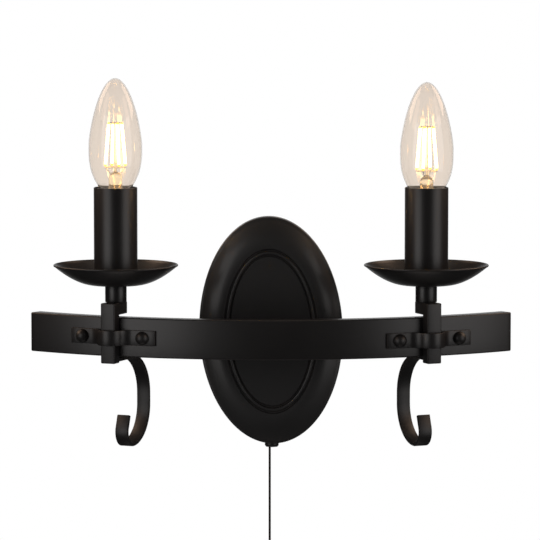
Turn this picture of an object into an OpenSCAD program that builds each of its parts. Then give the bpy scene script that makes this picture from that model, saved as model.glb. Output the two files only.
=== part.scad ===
// Two-light wall lamp: a bowed black bar on an oval plate, with two candle lights,
// two scroll hooks and a pull-cord switch. Lengths are in millimetres.
// The wall is the plane y = 0, the lamp stands out towards -Y, and z = 0 is the bar's middle.

/* [Bar] */
// Height of the bowed bar
bar_h = 26; // [22:0.5:34]
// Depth of the bar from front to back
bar_t = 10; // [9:0.5:14]
// Wall thickness of the bar
bar_wall = 2; // [1.2:0.1:2.5]
// Outer radius of the bow
bar_r = 262; // [250:1:340]
// Straight distance between the two ends of the bar
bar_chord = 320; // [290:1:330]
// Distance from the wall to the front of the bar at its middle
bar_reach = 70; // [67:0.5:90]
// Rounding of the bar's long edges
bar_round = 1; // [0.2:0.1:1.5]

/* [Clamps] */
// Distance between the two candle axes
stem_spacing = 204; // [180:1:230]
// Width of the clamp leg and arm
clamp_w = 10; // [9:0.5:12]
// Thickness of the clamp leg, front to back
leg_t = 8; // [5:0.5:10]
// How far the clamp rises above the bar
leg_above = 9.7; // [8:0.1:14]
// How far the clamp hangs below the bar
leg_below = 4; // [4:0.1:8]
// Height of the clamp's top arm
arm_h = 8; // [5:0.1:10]
// Length of the clamp's top arm, front to back
arm_len = 20; // [18:0.5:26]

/* [Hooks] */
// Width of the hook strap
hook_w = 8.9; // [6:0.1:10]
// Thickness of the hook strap
hook_t = 2.5; // [1.5:0.1:3.4]
// Radius of the hook's upper bend at the strap's middle
hook_top_r = 27; // [16:0.1:28]
// Straight drop between the hook's two large bends
hook_drop = 7; // [4:0.1:30]
// Radius of the hook's lower bend at the strap's middle
hook_low_r = 24.8; // [20:0.1:26]
// Radius of the hook's front curl at the strap's middle
hook_tip_r = 8.95; // [7:0.05:12]
// Straight length at the hook's tip
hook_tip_l = 8.5; // [2:0.1:16]
// How much shorter the right hook's level run is than the left one's
right_hook_short = 4.8; // [0:0.1:6]
// How far outwards of its clamp's middle the right hook is welded
right_hook_aside = 1.4; // [0:0.1:2]
// How much higher the right hook is welded than the left one
right_hook_rise = 0.6; // [0:0.1:0.6]

/* [Clips] */
// Height of the clip strap
clip_h = 10; // [7:0.5:14]
// Thickness of the clip strap
clip_t = 1.5; // [0.8:0.1:2]
// Length of the clip along the bar, from end to end
clip_len = 61; // [56:0.5:72]
// Distance between the clip's two rivets
rivet_spacing = 43; // [41:0.5:46]
// Diameter of a rivet's domed head
rivet_head_d = 9; // [6:0.1:9.5]
// Diameter of a rivet's shank
rivet_d = 3.4; // [2:0.1:4]
// How much lower the right clip is riveted than the left one
right_clip_drop = 1.6; // [0:0.1:2]

/* [Candles] */
// Diameter of the collar between clamp and pan
collar_d = 14.2; // [11:0.1:16]
// Length of the collar between clamp and pan
collar_l = 11.3; // [8:0.1:20]
// Diameter of the hollow threaded stem
stem_d = 7; // [6.4:0.1:7.5]
// Bore of the hollow threaded stem
stem_bore = 4.6; // [4.4:0.1:5]
// Radius of the drip pan
pan_r = 41; // [30:0.5:41]
// Depth of the drip pan outside
pan_depth = 12.8; // [8:0.1:18]
// Sheet thickness of the drip pan
pan_wall = 1.2; // [0.8:0.1:1.6]
// Radius of the rolled edge of the pan
pan_hem_r = 0.65; // [0.6:0.05:1.2]
// Outer diameter of the candle tube
tube_d = 28.65; // [28:0.05:30]
// Wall thickness of the candle tube
tube_wall = 1; // [0.6:0.1:1.2]
// Length of the candle tube
tube_l = 63; // [56:0.5:110]
// Height of the lock nut on the pan
stem_nut_h = 4; // [3:0.1:5]
// Outer diameter of the lampholder
holder_d = 26; // [22:0.1:26.2]
// Length of the lampholder
holder_l = 37; // [34:0.5:42]
// How much higher the left lampholder is screwed than the right one
left_holder_rise = 2.6; // [0:0.1:4]

/* [Bulbs] */
// Largest diameter of the candle bulb
bulb_d = 35.2; // [33:0.1:37]
// Length of the glass from its tip to the cap
glass_l = 76; // [72:0.5:82]
// Wall thickness of the glass
glass_wall = 0.7; // [0.5:0.1:1]
// Diameter of the bulb cap's rim
cap_rim_d = 14.8; // [14.4:0.1:15]
// Diameter of the bulb cap's screw shell
cap_d = 13.9; // [13.6:0.05:13.95]
// Length of the bulb cap from its rim to the insulator
cap_l = 18; // [16:0.1:20]
// How deep the right bulb's glass goes into its candle tube
glass_sunk = 7.1; // [5:0.1:8]
// Length of each glowing filament
filament_l = 29; // [20:0.5:34]
// Diameter of each glowing filament
filament_d = 1.8; // [1:0.1:2]

/* [Backplate] */
// Half the width of the oval plate
plate_a = 47.9; // [46.5:0.1:55]
// Half the height of the oval plate
plate_b = 76.1; // [74:0.1:90]
// Depth of the plate's straight rim
rim_h = 9.9; // [9.6:0.1:12]
// Depth of the plate at its raised ridge
ridge_y = 16.4; // [15.6:0.1:20]
// Depth of the plate's flat middle panel
panel_y = 15; // [14.6:0.1:18]
// Sheet thickness of the plate
plate_wall = 1.2; // [0.8:0.1:1.4]
// Half the width of the flat middle panel
panel_a = 26.4; // [22:0.1:28]
// Half the height of the flat middle panel
panel_b = 49.6; // [44:0.1:52]
// How many degrees the plate is turned on its centre tube
plate_tilt = 1.9; // [0:0.1:2.5]

/* [Mounting] */
// Distance between the two wall screws
screw_spacing = 60; // [56:0.5:62]
// Width of each slot for a wall screw
slot_w = 4.5; // [3.5:0.1:6]
// End-to-end length of each slot for a wall screw
slot_l = 8; // [7:0.5:9]
// Height of the wall bracket
bracket_h = 22; // [20:0.5:26]
// Sheet thickness of the wall bracket
bracket_t = 1.5; // [1:0.1:2]
// Diameter of the bracket's hole for the supply cable
supply_hole_d = 14; // [10:0.5:15]
// Outer diameter of the standoff tube behind the bar
spacer_d = 16; // [14:0.1:17]
// Diameter of the threaded tube at the plate's centre
nipple_d = 10; // [9:0.1:10]
// Bore of the threaded tube at the plate's centre
nipple_bore = 7; // [6.4:0.1:7.4]

/* [Pull switch] */
// Sideways place of the switch bush
switch_x = 0.5; // [0:0.1:1]
// Sideways place of the hanging cord
cord_x = -0.9; // [-1:0.1:0]
// Diameter of the pull cord
cord_d = 1.5; // [1:0.1:1.6]
// Diameter of the switch's threaded neck
neck_d = 8; // [7.4:0.1:8.2]
// Diameter of the round nut on the switch's neck
neck_nut_d = 9.3; // [9:0.1:9.5]
// How far the cord can be pulled down
pull_travel = 6; // [3:0.5:6]
// Diameter of the pull knob
knob_d = 13; // [10:0.5:18]
// Length of the pull knob
knob_l = 24; // [20:0.5:34]

/* [Hidden] */

LEFT = -1;
RIGHT = 1;
fit = 0.1;
eps = 0.01;
$fn = 64;

black = [0.07, 0.065, 0.065];
steel = [0.66, 0.66, 0.68];
brass = [0.78, 0.64, 0.34];
plastic = [0.1, 0.1, 0.11];
ivory = [0.9, 0.87, 0.78];
clear = [0.93, 0.88, 0.8, 0.4];
glow = [1, 0.86, 0.55];
copper_blue = [0.2, 0.3, 0.6];
copper_brown = [0.42, 0.26, 0.16];
earth_green = [0.35, 0.6, 0.25];

bar_top = bar_h / 2;
arc_y = bar_r - bar_reach;
bar_end = asin(bar_chord / 2 / bar_r);
stem_r = bar_r - bar_t / 2;
stem_angle = asin(stem_spacing / 2 / stem_r);
bar_mid_r = bar_r - bar_wall - (bar_t - bar_wall) / 2;
bar_front = -bar_t / 2;

arm_top = bar_top + leg_above;
arm_low = arm_top - arm_h;
leg_low = -bar_top - leg_below;
leg_front = bar_front - leg_t;

hook_above_foot = 0.8;
hook_z = leg_low + hook_t / 2 + hook_above_foot;
hook_run = 28.1;
hook_curl_lean = 19.5;

// The clip's middle line is an arch round the leg's front corners, a bend out of it at each
// side and a foot along the bar
clip_gap = 0.05;
arch_depth = 5;
arch_r = norm([clamp_w / 2, arch_depth]) + 0.18 + clip_t / 2;
arch_mid_y = leg_front + arch_depth;
arch_span = stem_r - arch_mid_y;
foot_r = bar_r + clip_gap + clip_t / 2;
foot_start = (rivet_spacing / 2 - rivet_head_d / 2 - 2) / foot_r * 57.2958;
foot_end = clip_len / 2 / bar_r * 57.2958;
bend_reach = (pow(arch_span, 2) - pow(foot_r - arch_r, 2))
    / (2 * (arch_span * cos(foot_start) + arch_r - foot_r));
bend_r = bend_reach - foot_r;
bend_mid = [bend_reach * sin(foot_start), stem_r - bend_reach * cos(foot_start)];
arch_a = atan2(bend_mid[0], arch_mid_y - bend_mid[1]);

collar_z = arm_top;
pan_z = collar_z + collar_l;
pan_floor_z = pan_z + pan_wall;
pan_flat_r = tube_d / 2 + 0.8;
tube_z = pan_floor_z;
tube_top = tube_z + tube_l;
tube_in_r = tube_d / 2 - tube_wall;

insulator_l = 2.8;
contact_l = 1.2;
bulb_tip_z = tube_top + glass_l - glass_sunk;
cap_rim_l = 2;
holder_top = bulb_tip_z - glass_l - cap_rim_l - 0.3;
holder_low = holder_top - holder_l;
holder_base_l = 8.5;
bulb_low = bulb_tip_z - glass_l - cap_l - insulator_l - contact_l;
socket_r = cap_d / 2 + 0.65;
partition_top = bulb_low - 2.5;
partition_t = 2;
stem_top = holder_low + 6.5;
stem_low = arm_low + 0.2;
filament_top = 28.8;

panel_back = panel_y - plate_wall;
spacer_end = bar_reach - bar_wall - 0.2;
spacer_cross = spacer_end - 6.3;
nut_t = 4;

tab_x = 7.5;
tab_w = 3.2;
tab_t = 1;
tab_l = 20;
tab_out = 4;
switch_h = 28;
switch_w = 24;
switch_y0 = -9.2;
switch_y1 = -1.2;
switch_mid_y = -5;
switch_low = -plate_b + 6.1;
switch_top = switch_low + switch_h;
switch_wall = 1;
cavity_low = switch_low + 1.5;
bush_out = 2;
plunger_low = cavity_low + pull_travel + 0.5;
plunger_flange_z = cavity_low + 20.5;
plunger_r = 1.5;
plunger_flange_r = 2.6;

// The cord hangs straight down, from the plunger in the switch to the knob
cord_route = [
    [cord_x, switch_mid_y, plunger_low],
    [cord_x, switch_mid_y, -68], [cord_x, switch_mid_y, -72], [cord_x, switch_mid_y, -76],
    [cord_x, switch_mid_y, -80], [cord_x, switch_mid_y, -84], [cord_x, switch_mid_y, -88],
    [cord_x, switch_mid_y, -92], [cord_x, switch_mid_y, -96], [cord_x, switch_mid_y, -100],
    [cord_x, switch_mid_y, -104], [cord_x, switch_mid_y, -108], [cord_x, switch_mid_y, -112],
    [cord_x, switch_mid_y, -116], [cord_x, switch_mid_y, -120], [cord_x, switch_mid_y, -124],
    [cord_x, switch_mid_y, -128], [cord_x, switch_mid_y, -132], [cord_x, switch_mid_y, -136],
    [cord_x, switch_mid_y, -140], [cord_x, switch_mid_y, -144], [cord_x, switch_mid_y, -148],
    [cord_x, switch_mid_y, -152], [cord_x, switch_mid_y, -156], [cord_x, switch_mid_y, -160],
    [cord_x, switch_mid_y, -164], [cord_x, switch_mid_y, -168], [cord_x, switch_mid_y, -172],
    [cord_x, switch_mid_y, -176], [cord_x, switch_mid_y, -180], [cord_x, switch_mid_y, -184],
    [cord_x, switch_mid_y, -188], [cord_x, switch_mid_y, -192], [cord_x, switch_mid_y, -196],
    [cord_x, switch_mid_y, -200], [cord_x, switch_mid_y, -204], [cord_x, switch_mid_y, -208]
];
cord_low = -208;
cord_in_knob = 8;
knob_top = cord_low + cord_in_knob;

block_w = 27;
block_h = 15;
block_low = 18;
block_y0 = -panel_back;
block_t = 10.5;
block_pitch = 8.4;
block_mid_y = block_y0 + 5;
block_bore_r = 2.3;
wire_r = 0.8;
wire_side = 1.2;
ear_x = plate_a - plate_wall - 0.8;

// Points on an arc in a plane
function arc_points(c, r, a0, a1, n) =
    [for (i = [0:n]) let (a = a0 + (a1 - a0) * i / n) [c[0] + r * cos(a), c[1] + r * sin(a)]];

function reversed(list) = [for (i = [len(list) - 1:-1:0]) list[i]];

function unit(v) = v / norm(v);

// Direction of a route at its point i
function heading(p, i) = unit(p[min(i + 1, len(p) - 1)] - p[max(i - 1, 0)]);

// A round tube that follows the points of a route
module tube_along(p, r, sides = 8) {
    lean = unit([0.5, 0.37, 0.31]);
    rings = [for (i = [0:len(p) - 1])
        let (t = heading(p, i), u = unit(cross(t, lean)), v = cross(t, u))
        [for (j = [0:sides - 1]) p[i] + r * (u * cos(360 * j / sides) + v * sin(360 * j / sides))]];
    last = len(p) - 1;
    points = [for (ring = rings) each ring];
    sides_faces = [for (i = [0:last - 1]) for (j = [0:sides - 1])
        let (a = i * sides + j, b = i * sides + (j + 1) % sides) each
        [[a, a + sides, b], [b, a + sides, b + sides]]];
    ends = [[for (j = [0:sides - 1]) j], [for (j = [sides - 1:-1:0]) last * sides + j]];
    polyhedron(points = points, faces = concat(sides_faces, ends), convexity = 6);
}

// Puts a piece that is drawn round the candle axis, front towards -Y, at one end of the bar
module at_stem(side) {
    translate([0, arc_y, 0])
        rotate([0, 0, side * stem_angle])
            translate([0, -stem_r, 0])
                children();
}

// Sweeps a radius-height profile along the bow, between two angles from the middle
module along_bow(a0, a1) {
    translate([0, arc_y, 0])
        rotate([0, 0, 270 + a0])
            rotate_extrude(angle = a1 - a0, $fn = 360)
                children();
}

// Turns a depth-height drawing upright, starting at the leg's front face
module side_view(width) {
    translate([-width / 2, leg_front, 0])
        rotate([90, 0, 90])
            linear_extrude(width)
                children();
}

module hexagon(across, height) {
    cylinder(r = across / sqrt(3), h = height, $fn = 6);
}

// Wall bracket

module slot_hole(x) {
    for (s = [-1, 1])
        translate([x + s * (slot_l - slot_w) / 2, 1, 0])
            rotate([90, 0, 0])
                cylinder(d = slot_w, h = bracket_t + 2);
    translate([x - (slot_l - slot_w) / 2, -bracket_t - 1, -slot_w / 2])
        cube([slot_l - slot_w, bracket_t + 2, slot_w]);
}

earth_x = -16.5;
earth_screw_r = 1.9;
earth_head_r = 3.5;
earth_head_h = 2.2;
side_screw_r = 1.9;
side_screw_l = 7;
side_head_r = 3.6;
side_head_h = 2;
ear_w = 12;

module wall_bracket() {
    color(steel)
    difference() {
        union() {
            translate([-ear_x, -bracket_t, -bracket_h / 2])
                cube([2 * ear_x, bracket_t, bracket_h]);
            for (s = [-1, 1])
                translate([s * (ear_x - bracket_t / 2) - bracket_t / 2, -rim_h + 1.6, -ear_w / 2])
                    cube([bracket_t, rim_h - 1.6, ear_w]);
        }
        for (s = [-1, 1])
            slot_hole(s * screw_spacing / 2);
        translate([0, 1, 0])
            rotate([90, 0, 0])
                cylinder(d = supply_hole_d, h = bracket_t + 2);
        translate([earth_x, 1, 0])
            rotate([90, 0, 0])
                cylinder(r = earth_screw_r + fit, h = bracket_t + 2);
        translate([-ear_x - 1, switch_mid_y, 0])
            rotate([0, 90, 0])
                cylinder(r = side_screw_r + fit, h = 2 * ear_x + 2);
    }
}

module earth_screw() {
    color(brass)
    translate([earth_x, 0, 0])
        rotate([90, 0, 0])
        difference() {
            union() {
                translate([0, 0, 0.1])
                    cylinder(r = earth_screw_r, h = bracket_t);
                translate([0, 0, bracket_t])
                    cylinder(r = earth_head_r, h = earth_head_h);
            }
            translate([-earth_head_r - fit, -0.4, bracket_t + 1.2])
                cube([2 * earth_head_r + 2 * fit, 0.8, earth_head_h]);
        }
}

// Backplate

plate_sides = 56;
groove_depth = 1.6;

// Rings of the pressed oval as half width, half height and depth, from the wall to the panel
outer_rings = [
    [plate_a, plate_b, 0],
    [plate_a, plate_b, rim_h - 1.4],
    [plate_a - 0.35, plate_b - 0.35, rim_h - 0.5],
    [plate_a - 1.2, plate_b - 1.2, rim_h],
    [plate_a - 4.3, plate_b - 5.6, rim_h + (ridge_y - rim_h) * 0.36],
    [plate_a - 8.4, plate_b - 11.2, rim_h + (ridge_y - rim_h) * 0.66],
    [plate_a - 12.6, plate_b - 17, rim_h + (ridge_y - rim_h) * 0.86],
    [panel_a + 6.4, panel_b + 7.1, rim_h + (ridge_y - rim_h) * 0.94],
    [panel_a + 5.2, panel_b + 5.8, ridge_y - 0.4],
    [panel_a + 4.5, panel_b + 5, ridge_y - groove_depth],
    [panel_a + 3.9, panel_b + 4.4, ridge_y - groove_depth],
    [panel_a + 3.3, panel_b + 3.7, ridge_y - 0.25],
    [panel_a + 2.6, panel_b + 2.9, ridge_y],
    [panel_a + 1.9, panel_b + 2.1, ridge_y - 0.25],
    [panel_a + 1.3, panel_b + 1.4, panel_y - groove_depth / 2],
    [panel_a + 0.8, panel_b + 0.9, panel_y - groove_depth / 2],
    [panel_a, panel_b, panel_y]
];
inner_rings = [
    [plate_a - plate_wall, plate_b - plate_wall, 0],
    [plate_a - plate_wall, plate_b - plate_wall, rim_h - 1.6],
    [plate_a - plate_wall - 0.9, plate_b - plate_wall - 0.9, rim_h - 0.9],
    [plate_a - 5, plate_b - 6.6, rim_h - plate_wall + (ridge_y - rim_h) * 0.34],
    [plate_a - 9, plate_b - 12, rim_h - plate_wall + (ridge_y - rim_h) * 0.64],
    [panel_a + 7.5, panel_b + 8, rim_h - plate_wall + (ridge_y - rim_h) * 0.8],
    [panel_a + 5.2, panel_b + 5.8, ridge_y - groove_depth - plate_wall],
    [panel_a, panel_b, panel_back]
];

function oval(ring) =
    [for (j = [0:plate_sides - 1]) let (t = 360 * j / plate_sides)
        [ring[0] * cos(t), -ring[2], ring[1] * sin(t)]];

function band(a, b) = [for (j = [0:plate_sides - 1]) let (k = (j + 1) % plate_sides) each
    [[a + j, b + j, a + k], [a + k, b + j, b + k]]];

module pressed_shell() {
    rings = concat(reversed(inner_rings), outer_rings);
    n = len(rings);
    points = [for (ring = rings) each oval(ring)];
    walls = [for (i = [0:n - 2]) each band(i * plate_sides, (i + 1) * plate_sides)];
    back = [for (j = [0:plate_sides - 1]) plate_sides - 1 - j];
    front = [for (j = [0:plate_sides - 1]) (n - 1) * plate_sides + j];
    rotate([0, -plate_tilt, 0])
        polyhedron(points = points, faces = concat(walls, [reversed(back)], [reversed(front)]), convexity = 8);
}

module backplate() {
    color(black)
    difference() {
        pressed_shell();
        rotate([90, 0, 0])
            cylinder(d = nipple_d + 2 * fit, h = ridge_y + 4);
        translate([-plate_a - 2, switch_mid_y, 0])
            rotate([0, 90, 0])
                cylinder(r = side_screw_r + 0.2, h = 2 * plate_a + 4);
        translate([switch_x, switch_mid_y, -plate_b - 2])
            cylinder(d = neck_d + 2 * fit, h = 8);
    }
}

module backplate_side_screws() {
    color(black)
    for (s = [-1, 1])
        translate([s * plate_a, switch_mid_y, 0])
            rotate([0, s * 90, 0])
            difference() {
                union() {
                    translate([0, 0, -side_screw_l])
                        cylinder(r = side_screw_r, h = side_screw_l + eps);
                    translate([0, 0, 0.05])
                        cylinder(r1 = side_head_r, r2 = side_head_r - 0.7, h = side_head_h);
                }
                translate([-side_head_r - 0.4, -0.4, side_head_h - 0.8])
                    cube([2 * side_head_r + 0.8, 0.8, side_head_h]);
            }
}

// Standoff

module spacer_tube() {
    color(black)
    difference() {
        translate([0, -panel_y - 0.05, 0])
            rotate([90, 0, 0])
                cylinder(d = spacer_d, h = spacer_end - panel_y - 0.05);
        rotate([90, 0, 0])
            cylinder(d = nipple_d + 2 * fit, h = bar_reach);
        translate([-spacer_d, -spacer_cross, 0])
            rotate([0, 90, 0])
                cylinder(r = 3.2, h = 2 * spacer_d);
    }
}

nipple_back = panel_back - 6.8;

module centre_nipple() {
    color(steel)
    translate([0, -nipple_back, 0])
        rotate([90, 0, 0])
        difference() {
            cylinder(d = nipple_d, h = 28);
            translate([0, 0, -1])
                cylinder(d = nipple_bore, h = 30);
        }
}

module centre_nut() {
    color(steel)
    translate([0, -panel_back + nut_t, 0])
        rotate([90, 0, 0])
        difference() {
            hexagon(14, nut_t);
            translate([0, 0, -1])
                cylinder(d = nipple_d + 2 * fit, h = nut_t + 2);
        }
}

// Bar

bar_end_wall = bar_wall / bar_r * 57.2958;

module bar_outline() {
    back = bar_r - bar_t;
    polygon(concat(
        arc_points([bar_r - bar_round, bar_top - bar_round], bar_round, 0, 90, 4),
        [[back, bar_top], [back, -bar_top]],
        arc_points([bar_r - bar_round, -bar_top + bar_round], bar_round, -90, 0, 4)
    ));
}

module bar() {
    color(black)
    difference() {
        along_bow(-bar_end, bar_end)
            bar_outline();
        along_bow(-bar_end + bar_end_wall, bar_end - bar_end_wall)
            translate([bar_r - bar_t - 1, -bar_top + bar_wall])
                square([bar_t - bar_wall + 1, bar_h - 2 * bar_wall]);
        for (side = [LEFT, RIGHT]) {
            at_stem(side)
                cylinder(r = stem_bore / 2 + 0.4, h = bar_h);
            for (s = [-1, 1])
                at_rivet(side, s)
                    translate([0, 0, -bar_wall - 1])
                        cylinder(d = rivet_d + 2 * fit, h = bar_wall + 2);
        }
    }
}

// Clamp, hook and clip

module clamp(side) {
    color(black)
    at_stem(side)
    difference() {
        side_view(clamp_w)
            polygon([
                [0.6, arm_top], [0, arm_top - 0.6], [0, leg_low + 0.6], [0.6, leg_low],
                [leg_t, leg_low], [leg_t, arm_low], [arm_len, arm_low], [arm_len, arm_top]
            ]);
        translate([0, 0, arm_low - 1])
            cylinder(d = stem_d + 2 * fit, h = arm_h + 2);
    }
}

// One side of the strap, seen from the side, for a level run of this length at this height
function hook_side(s, run, z) =
    let (h = s * hook_t / 2,
        low_z = z - hook_top_r - hook_drop,
        low_y = run + hook_top_r - hook_low_r,
        curl_c = [low_y, low_z - hook_low_r + hook_tip_r],
        curl = arc_points(curl_c, hook_tip_r + h, -90, -180 - hook_curl_lean, 10),
        tip = curl[len(curl) - 1] + hook_tip_l * [sin(hook_curl_lean), cos(hook_curl_lean)])
    concat(
        [[leg_t, z + h]],
        arc_points([run, z - hook_top_r], hook_top_r + h, 90, 0, 10),
        arc_points([low_y, low_z], hook_low_r + h, 0, -90, 10),
        [for (i = [1:len(curl) - 1]) curl[i]],
        [tip]
    );

module hook(side) {
    run = side == RIGHT ? hook_run - right_hook_short : hook_run;
    z = side == RIGHT ? hook_z + right_hook_rise : hook_z;
    color(black)
    at_stem(side)
        translate([side == RIGHT ? right_hook_aside : 0, 0, 0])
            side_view(hook_w)
                polygon(concat(hook_side(1, run, z), reversed(hook_side(-1, run, z))));
}

function clip_z(side) = side == RIGHT ? -right_clip_drop : 0;

// One half of the clip's section, from its middle to its end, at a height over the middle line
function clip_half(h) = concat(
    [for (i = [0:8]) let (a = arch_a * i / 8)
        [(arch_r + h) * sin(a), arch_mid_y - (arch_r + h) * cos(a)]],
    [for (i = [1:8]) let (a = arch_a + (foot_start - arch_a) * i / 8)
        bend_mid + (bend_r - h) * [-sin(a), cos(a)]],
    [for (i = [1:3]) let (a = foot_start + (foot_end - foot_start) * i / 3)
        [(foot_r + h) * sin(a), stem_r - (foot_r + h) * cos(a)]]
);

function mirrored(list) = [for (p = list) [-p[0], p[1]]];

function beyond_first(list) = [for (i = [1:len(list) - 1]) list[i]];

module at_rivet(side, s) {
    translate([0, arc_y, clip_z(side)])
        rotate([0, 0, side * stem_angle + s * rivet_spacing / 2 / bar_r * 57.2958])
            translate([0, -bar_r, 0])
                rotate([90, 0, 0])
                    children();
}

module clip(side) {
    front = clip_half(clip_t / 2);
    back = clip_half(-clip_t / 2);
    color(black)
    difference() {
        at_stem(side)
            translate([0, 0, clip_z(side) - clip_h / 2])
                linear_extrude(clip_h)
                    polygon(concat(
                        reversed(mirrored(beyond_first(front))), front,
                        reversed(back), mirrored(beyond_first(back))
                    ));
        for (s = [-1, 1])
            at_rivet(side, s)
                translate([0, 0, -1])
                    cylinder(d = rivet_d + 2 * fit, h = clip_t + 2);
    }
}

module clip_rivets(side) {
    color(black)
    for (s = [-1, 1])
        at_rivet(side, s) {
            intersection() {
                translate([0, 0, clip_t + 0.05])
                    sphere(d = rivet_head_d);
                translate([0, 0, clip_t + 0.05])
                    cylinder(d = rivet_head_d + 1, h = rivet_head_d);
            }
            translate([0, 0, -bar_wall - 0.6])
                cylinder(d = rivet_d, h = bar_wall + clip_t + 1);
            translate([0, 0, -bar_wall - 1.2])
                cylinder(d = rivet_d + 1.8, h = 0.9);
        }
}

// Candle light

module stem_collar(side) {
    color(black)
    at_stem(side)
    difference() {
        translate([0, 0, collar_z])
            cylinder(d = collar_d, h = collar_l);
        translate([0, 0, collar_z - 1])
            cylinder(d = stem_d + 2 * fit, h = collar_l + 2);
    }
}

module stem_nipple(side) {
    color(steel)
    at_stem(side)
    translate([0, 0, stem_low])
    difference() {
        cylinder(d = stem_d, h = stem_top - stem_low);
        translate([0, 0, -1])
            cylinder(d = stem_bore, h = stem_top - stem_low + 2);
    }
}

module stem_nut(side) {
    color(steel)
    at_stem(side)
    translate([0, 0, pan_floor_z])
    difference() {
        hexagon(11, stem_nut_h);
        translate([0, 0, -1])
            cylinder(d = stem_d + 2 * fit, h = stem_nut_h + 2);
    }
}

// How strongly the dish steepens towards its edge
pan_curve = 1.75;

// Height of the pan's underside at a radius
function pan_under(r) =
    pan_z + pan_depth * pow(max(r - pan_flat_r, 0) / (pan_r - pan_flat_r), pan_curve);

pan_edge_r = pan_r - pan_hem_r;
pan_steps = 10;

module drip_pan(side) {
    under = [for (i = [0:pan_steps])
        let (r = pan_flat_r + (pan_edge_r - pan_flat_r) * i / pan_steps)
        [r, pan_under(r)]];
    hem_z = pan_under(pan_edge_r) + pan_wall / 2;
    color(black)
    at_stem(side)
    difference() {
        union() {
            rotate_extrude()
                polygon(concat(
                    [[0, pan_z]], under,
                    [for (p = reversed(under)) [p[0], p[1] + pan_wall]],
                    [[0, pan_z + pan_wall]]
                ));
            rotate_extrude()
                translate([pan_edge_r, hem_z])
                    circle(r = pan_hem_r, $fn = 24);
        }
        translate([0, 0, pan_z - 1])
            cylinder(d = stem_d + 2 * fit, h = pan_wall + 2);
    }
}

module candle_tube(side) {
    color(black)
    at_stem(side)
    translate([0, 0, tube_z])
    difference() {
        cylinder(d = tube_d, h = tube_l);
        translate([0, 0, -1])
            cylinder(r = tube_in_r, h = tube_l + 2);
    }
}

function rise(side) = side == LEFT ? left_holder_rise : 0;

module lampholder(side) {
    color(ivory)
    at_stem(side)
    translate([0, 0, rise(side)])
    difference() {
        translate([0, 0, holder_low])
            cylinder(d = holder_d, h = holder_l);
        translate([0, 0, holder_low - 1])
            cylinder(d = stem_d + 2 * fit, h = holder_base_l + 2);
        translate([0, 0, holder_low + holder_base_l])
            cylinder(r = socket_r, h = partition_top - partition_t - holder_low - holder_base_l);
        translate([0, 0, partition_top - partition_t - 1])
            cylinder(r = 1.1, h = partition_t + 2);
        translate([0, 0, partition_top])
            cylinder(r = socket_r, h = holder_top - partition_top + 1);
    }
}

module holder_contacts(side) {
    shell_low = bulb_low + contact_l + insulator_l - 0.6;
    color(brass)
    at_stem(side)
    translate([0, 0, rise(side)]) {
        difference() {
            translate([0, 0, shell_low])
                cylinder(r = socket_r - 0.05, h = 15);
            translate([0, 0, shell_low - 1])
                cylinder(r = cap_d / 2 + 0.2, h = 17);
        }
        translate([0, 0, partition_top - partition_t - 1.4])
            cylinder(r = 1, h = bulb_low - 0.1 - partition_top + partition_t + 1.4);
        translate([0, 0, bulb_low - 0.7])
            cylinder(r = 3, h = 0.6);
    }
}

// Bulb, drawn downwards from its tip

// Length of the glass from its tip down to where it is widest, and of its straight belly there
glass_crown = 43;
belly_l = 4;
glass_belly = glass_crown + belly_l;

// Radius of the glass at a depth below its tip
function glass_r(t) =
    t < glass_crown ? bulb_d / 2 * sqrt(1 - pow(1 - t / glass_crown, 1.35)) :
    t < glass_belly ? bulb_d / 2 :
    bulb_d / 2 - (bulb_d - cap_rim_d) / 2 * pow((t - glass_belly) / (glass_l - glass_belly), 2.5);

// Depths at which the glass is drawn, closer together where it bends more
crown_shares = [0, 0.006, 0.023, 0.051, 0.093, 0.163, 0.256, 0.372, 0.512, 0.674, 0.837, 1];
taper_shares = [0, 0.17, 0.34, 0.52, 0.66, 0.79, 0.9, 1];
glass_depths = concat(
    crown_shares * glass_crown,
    [for (f = taper_shares) glass_belly + f * (glass_l - glass_belly)]
);
// The glass is thicker at its pointed tip
tip_thick = 1.7;

module at_bulb(side) {
    at_stem(side)
        translate([0, 0, bulb_tip_z + rise(side)])
            children();
}

module bulb_glass(side) {
    outer = [for (t = glass_depths) [glass_r(t), -t]];
    inner = [for (t = glass_depths) if (t > tip_thick)
        [glass_r(t) - glass_wall, t < 2 * tip_thick ? -t - 0.3 : -t]];
    color(clear)
    at_bulb(side)
        rotate_extrude()
            polygon(concat(outer, reversed(inner), [[0, -tip_thick]]));
}

module bulb_cap(side) {
    color(steel)
    at_bulb(side)
    difference() {
        union() {
            translate([0, 0, -glass_l - cap_rim_l])
                cylinder(d = cap_rim_d, h = cap_rim_l);
            translate([0, 0, -glass_l - cap_l])
                cylinder(d = cap_d, h = cap_l - cap_rim_l + eps);
        }
        translate([0, 0, -glass_l - cap_l - 1])
            cylinder(d = cap_d - 0.8, h = cap_l + 2);
    }
}

module bulb_insulator(side) {
    z = -glass_l - cap_l;
    color(plastic)
    at_bulb(side) {
        translate([0, 0, z - insulator_l])
            cylinder(r1 = 4, r2 = cap_d / 2 - 0.5, h = insulator_l);
        translate([0, 0, z])
            cylinder(r = cap_d / 2 - 0.5, h = 1.5);
    }
}

module bulb_tip(side) {
    color(steel)
    at_bulb(side)
        translate([0, 0, -glass_l - cap_l - insulator_l - contact_l])
            cylinder(r1 = 2, r2 = 2.6, h = contact_l);
}

stem_flare_r = cap_rim_d / 2 - glass_wall - 0.15;
post_top = filament_top - 0.1;
stem_neck = filament_top + filament_l + 4.5;

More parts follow.
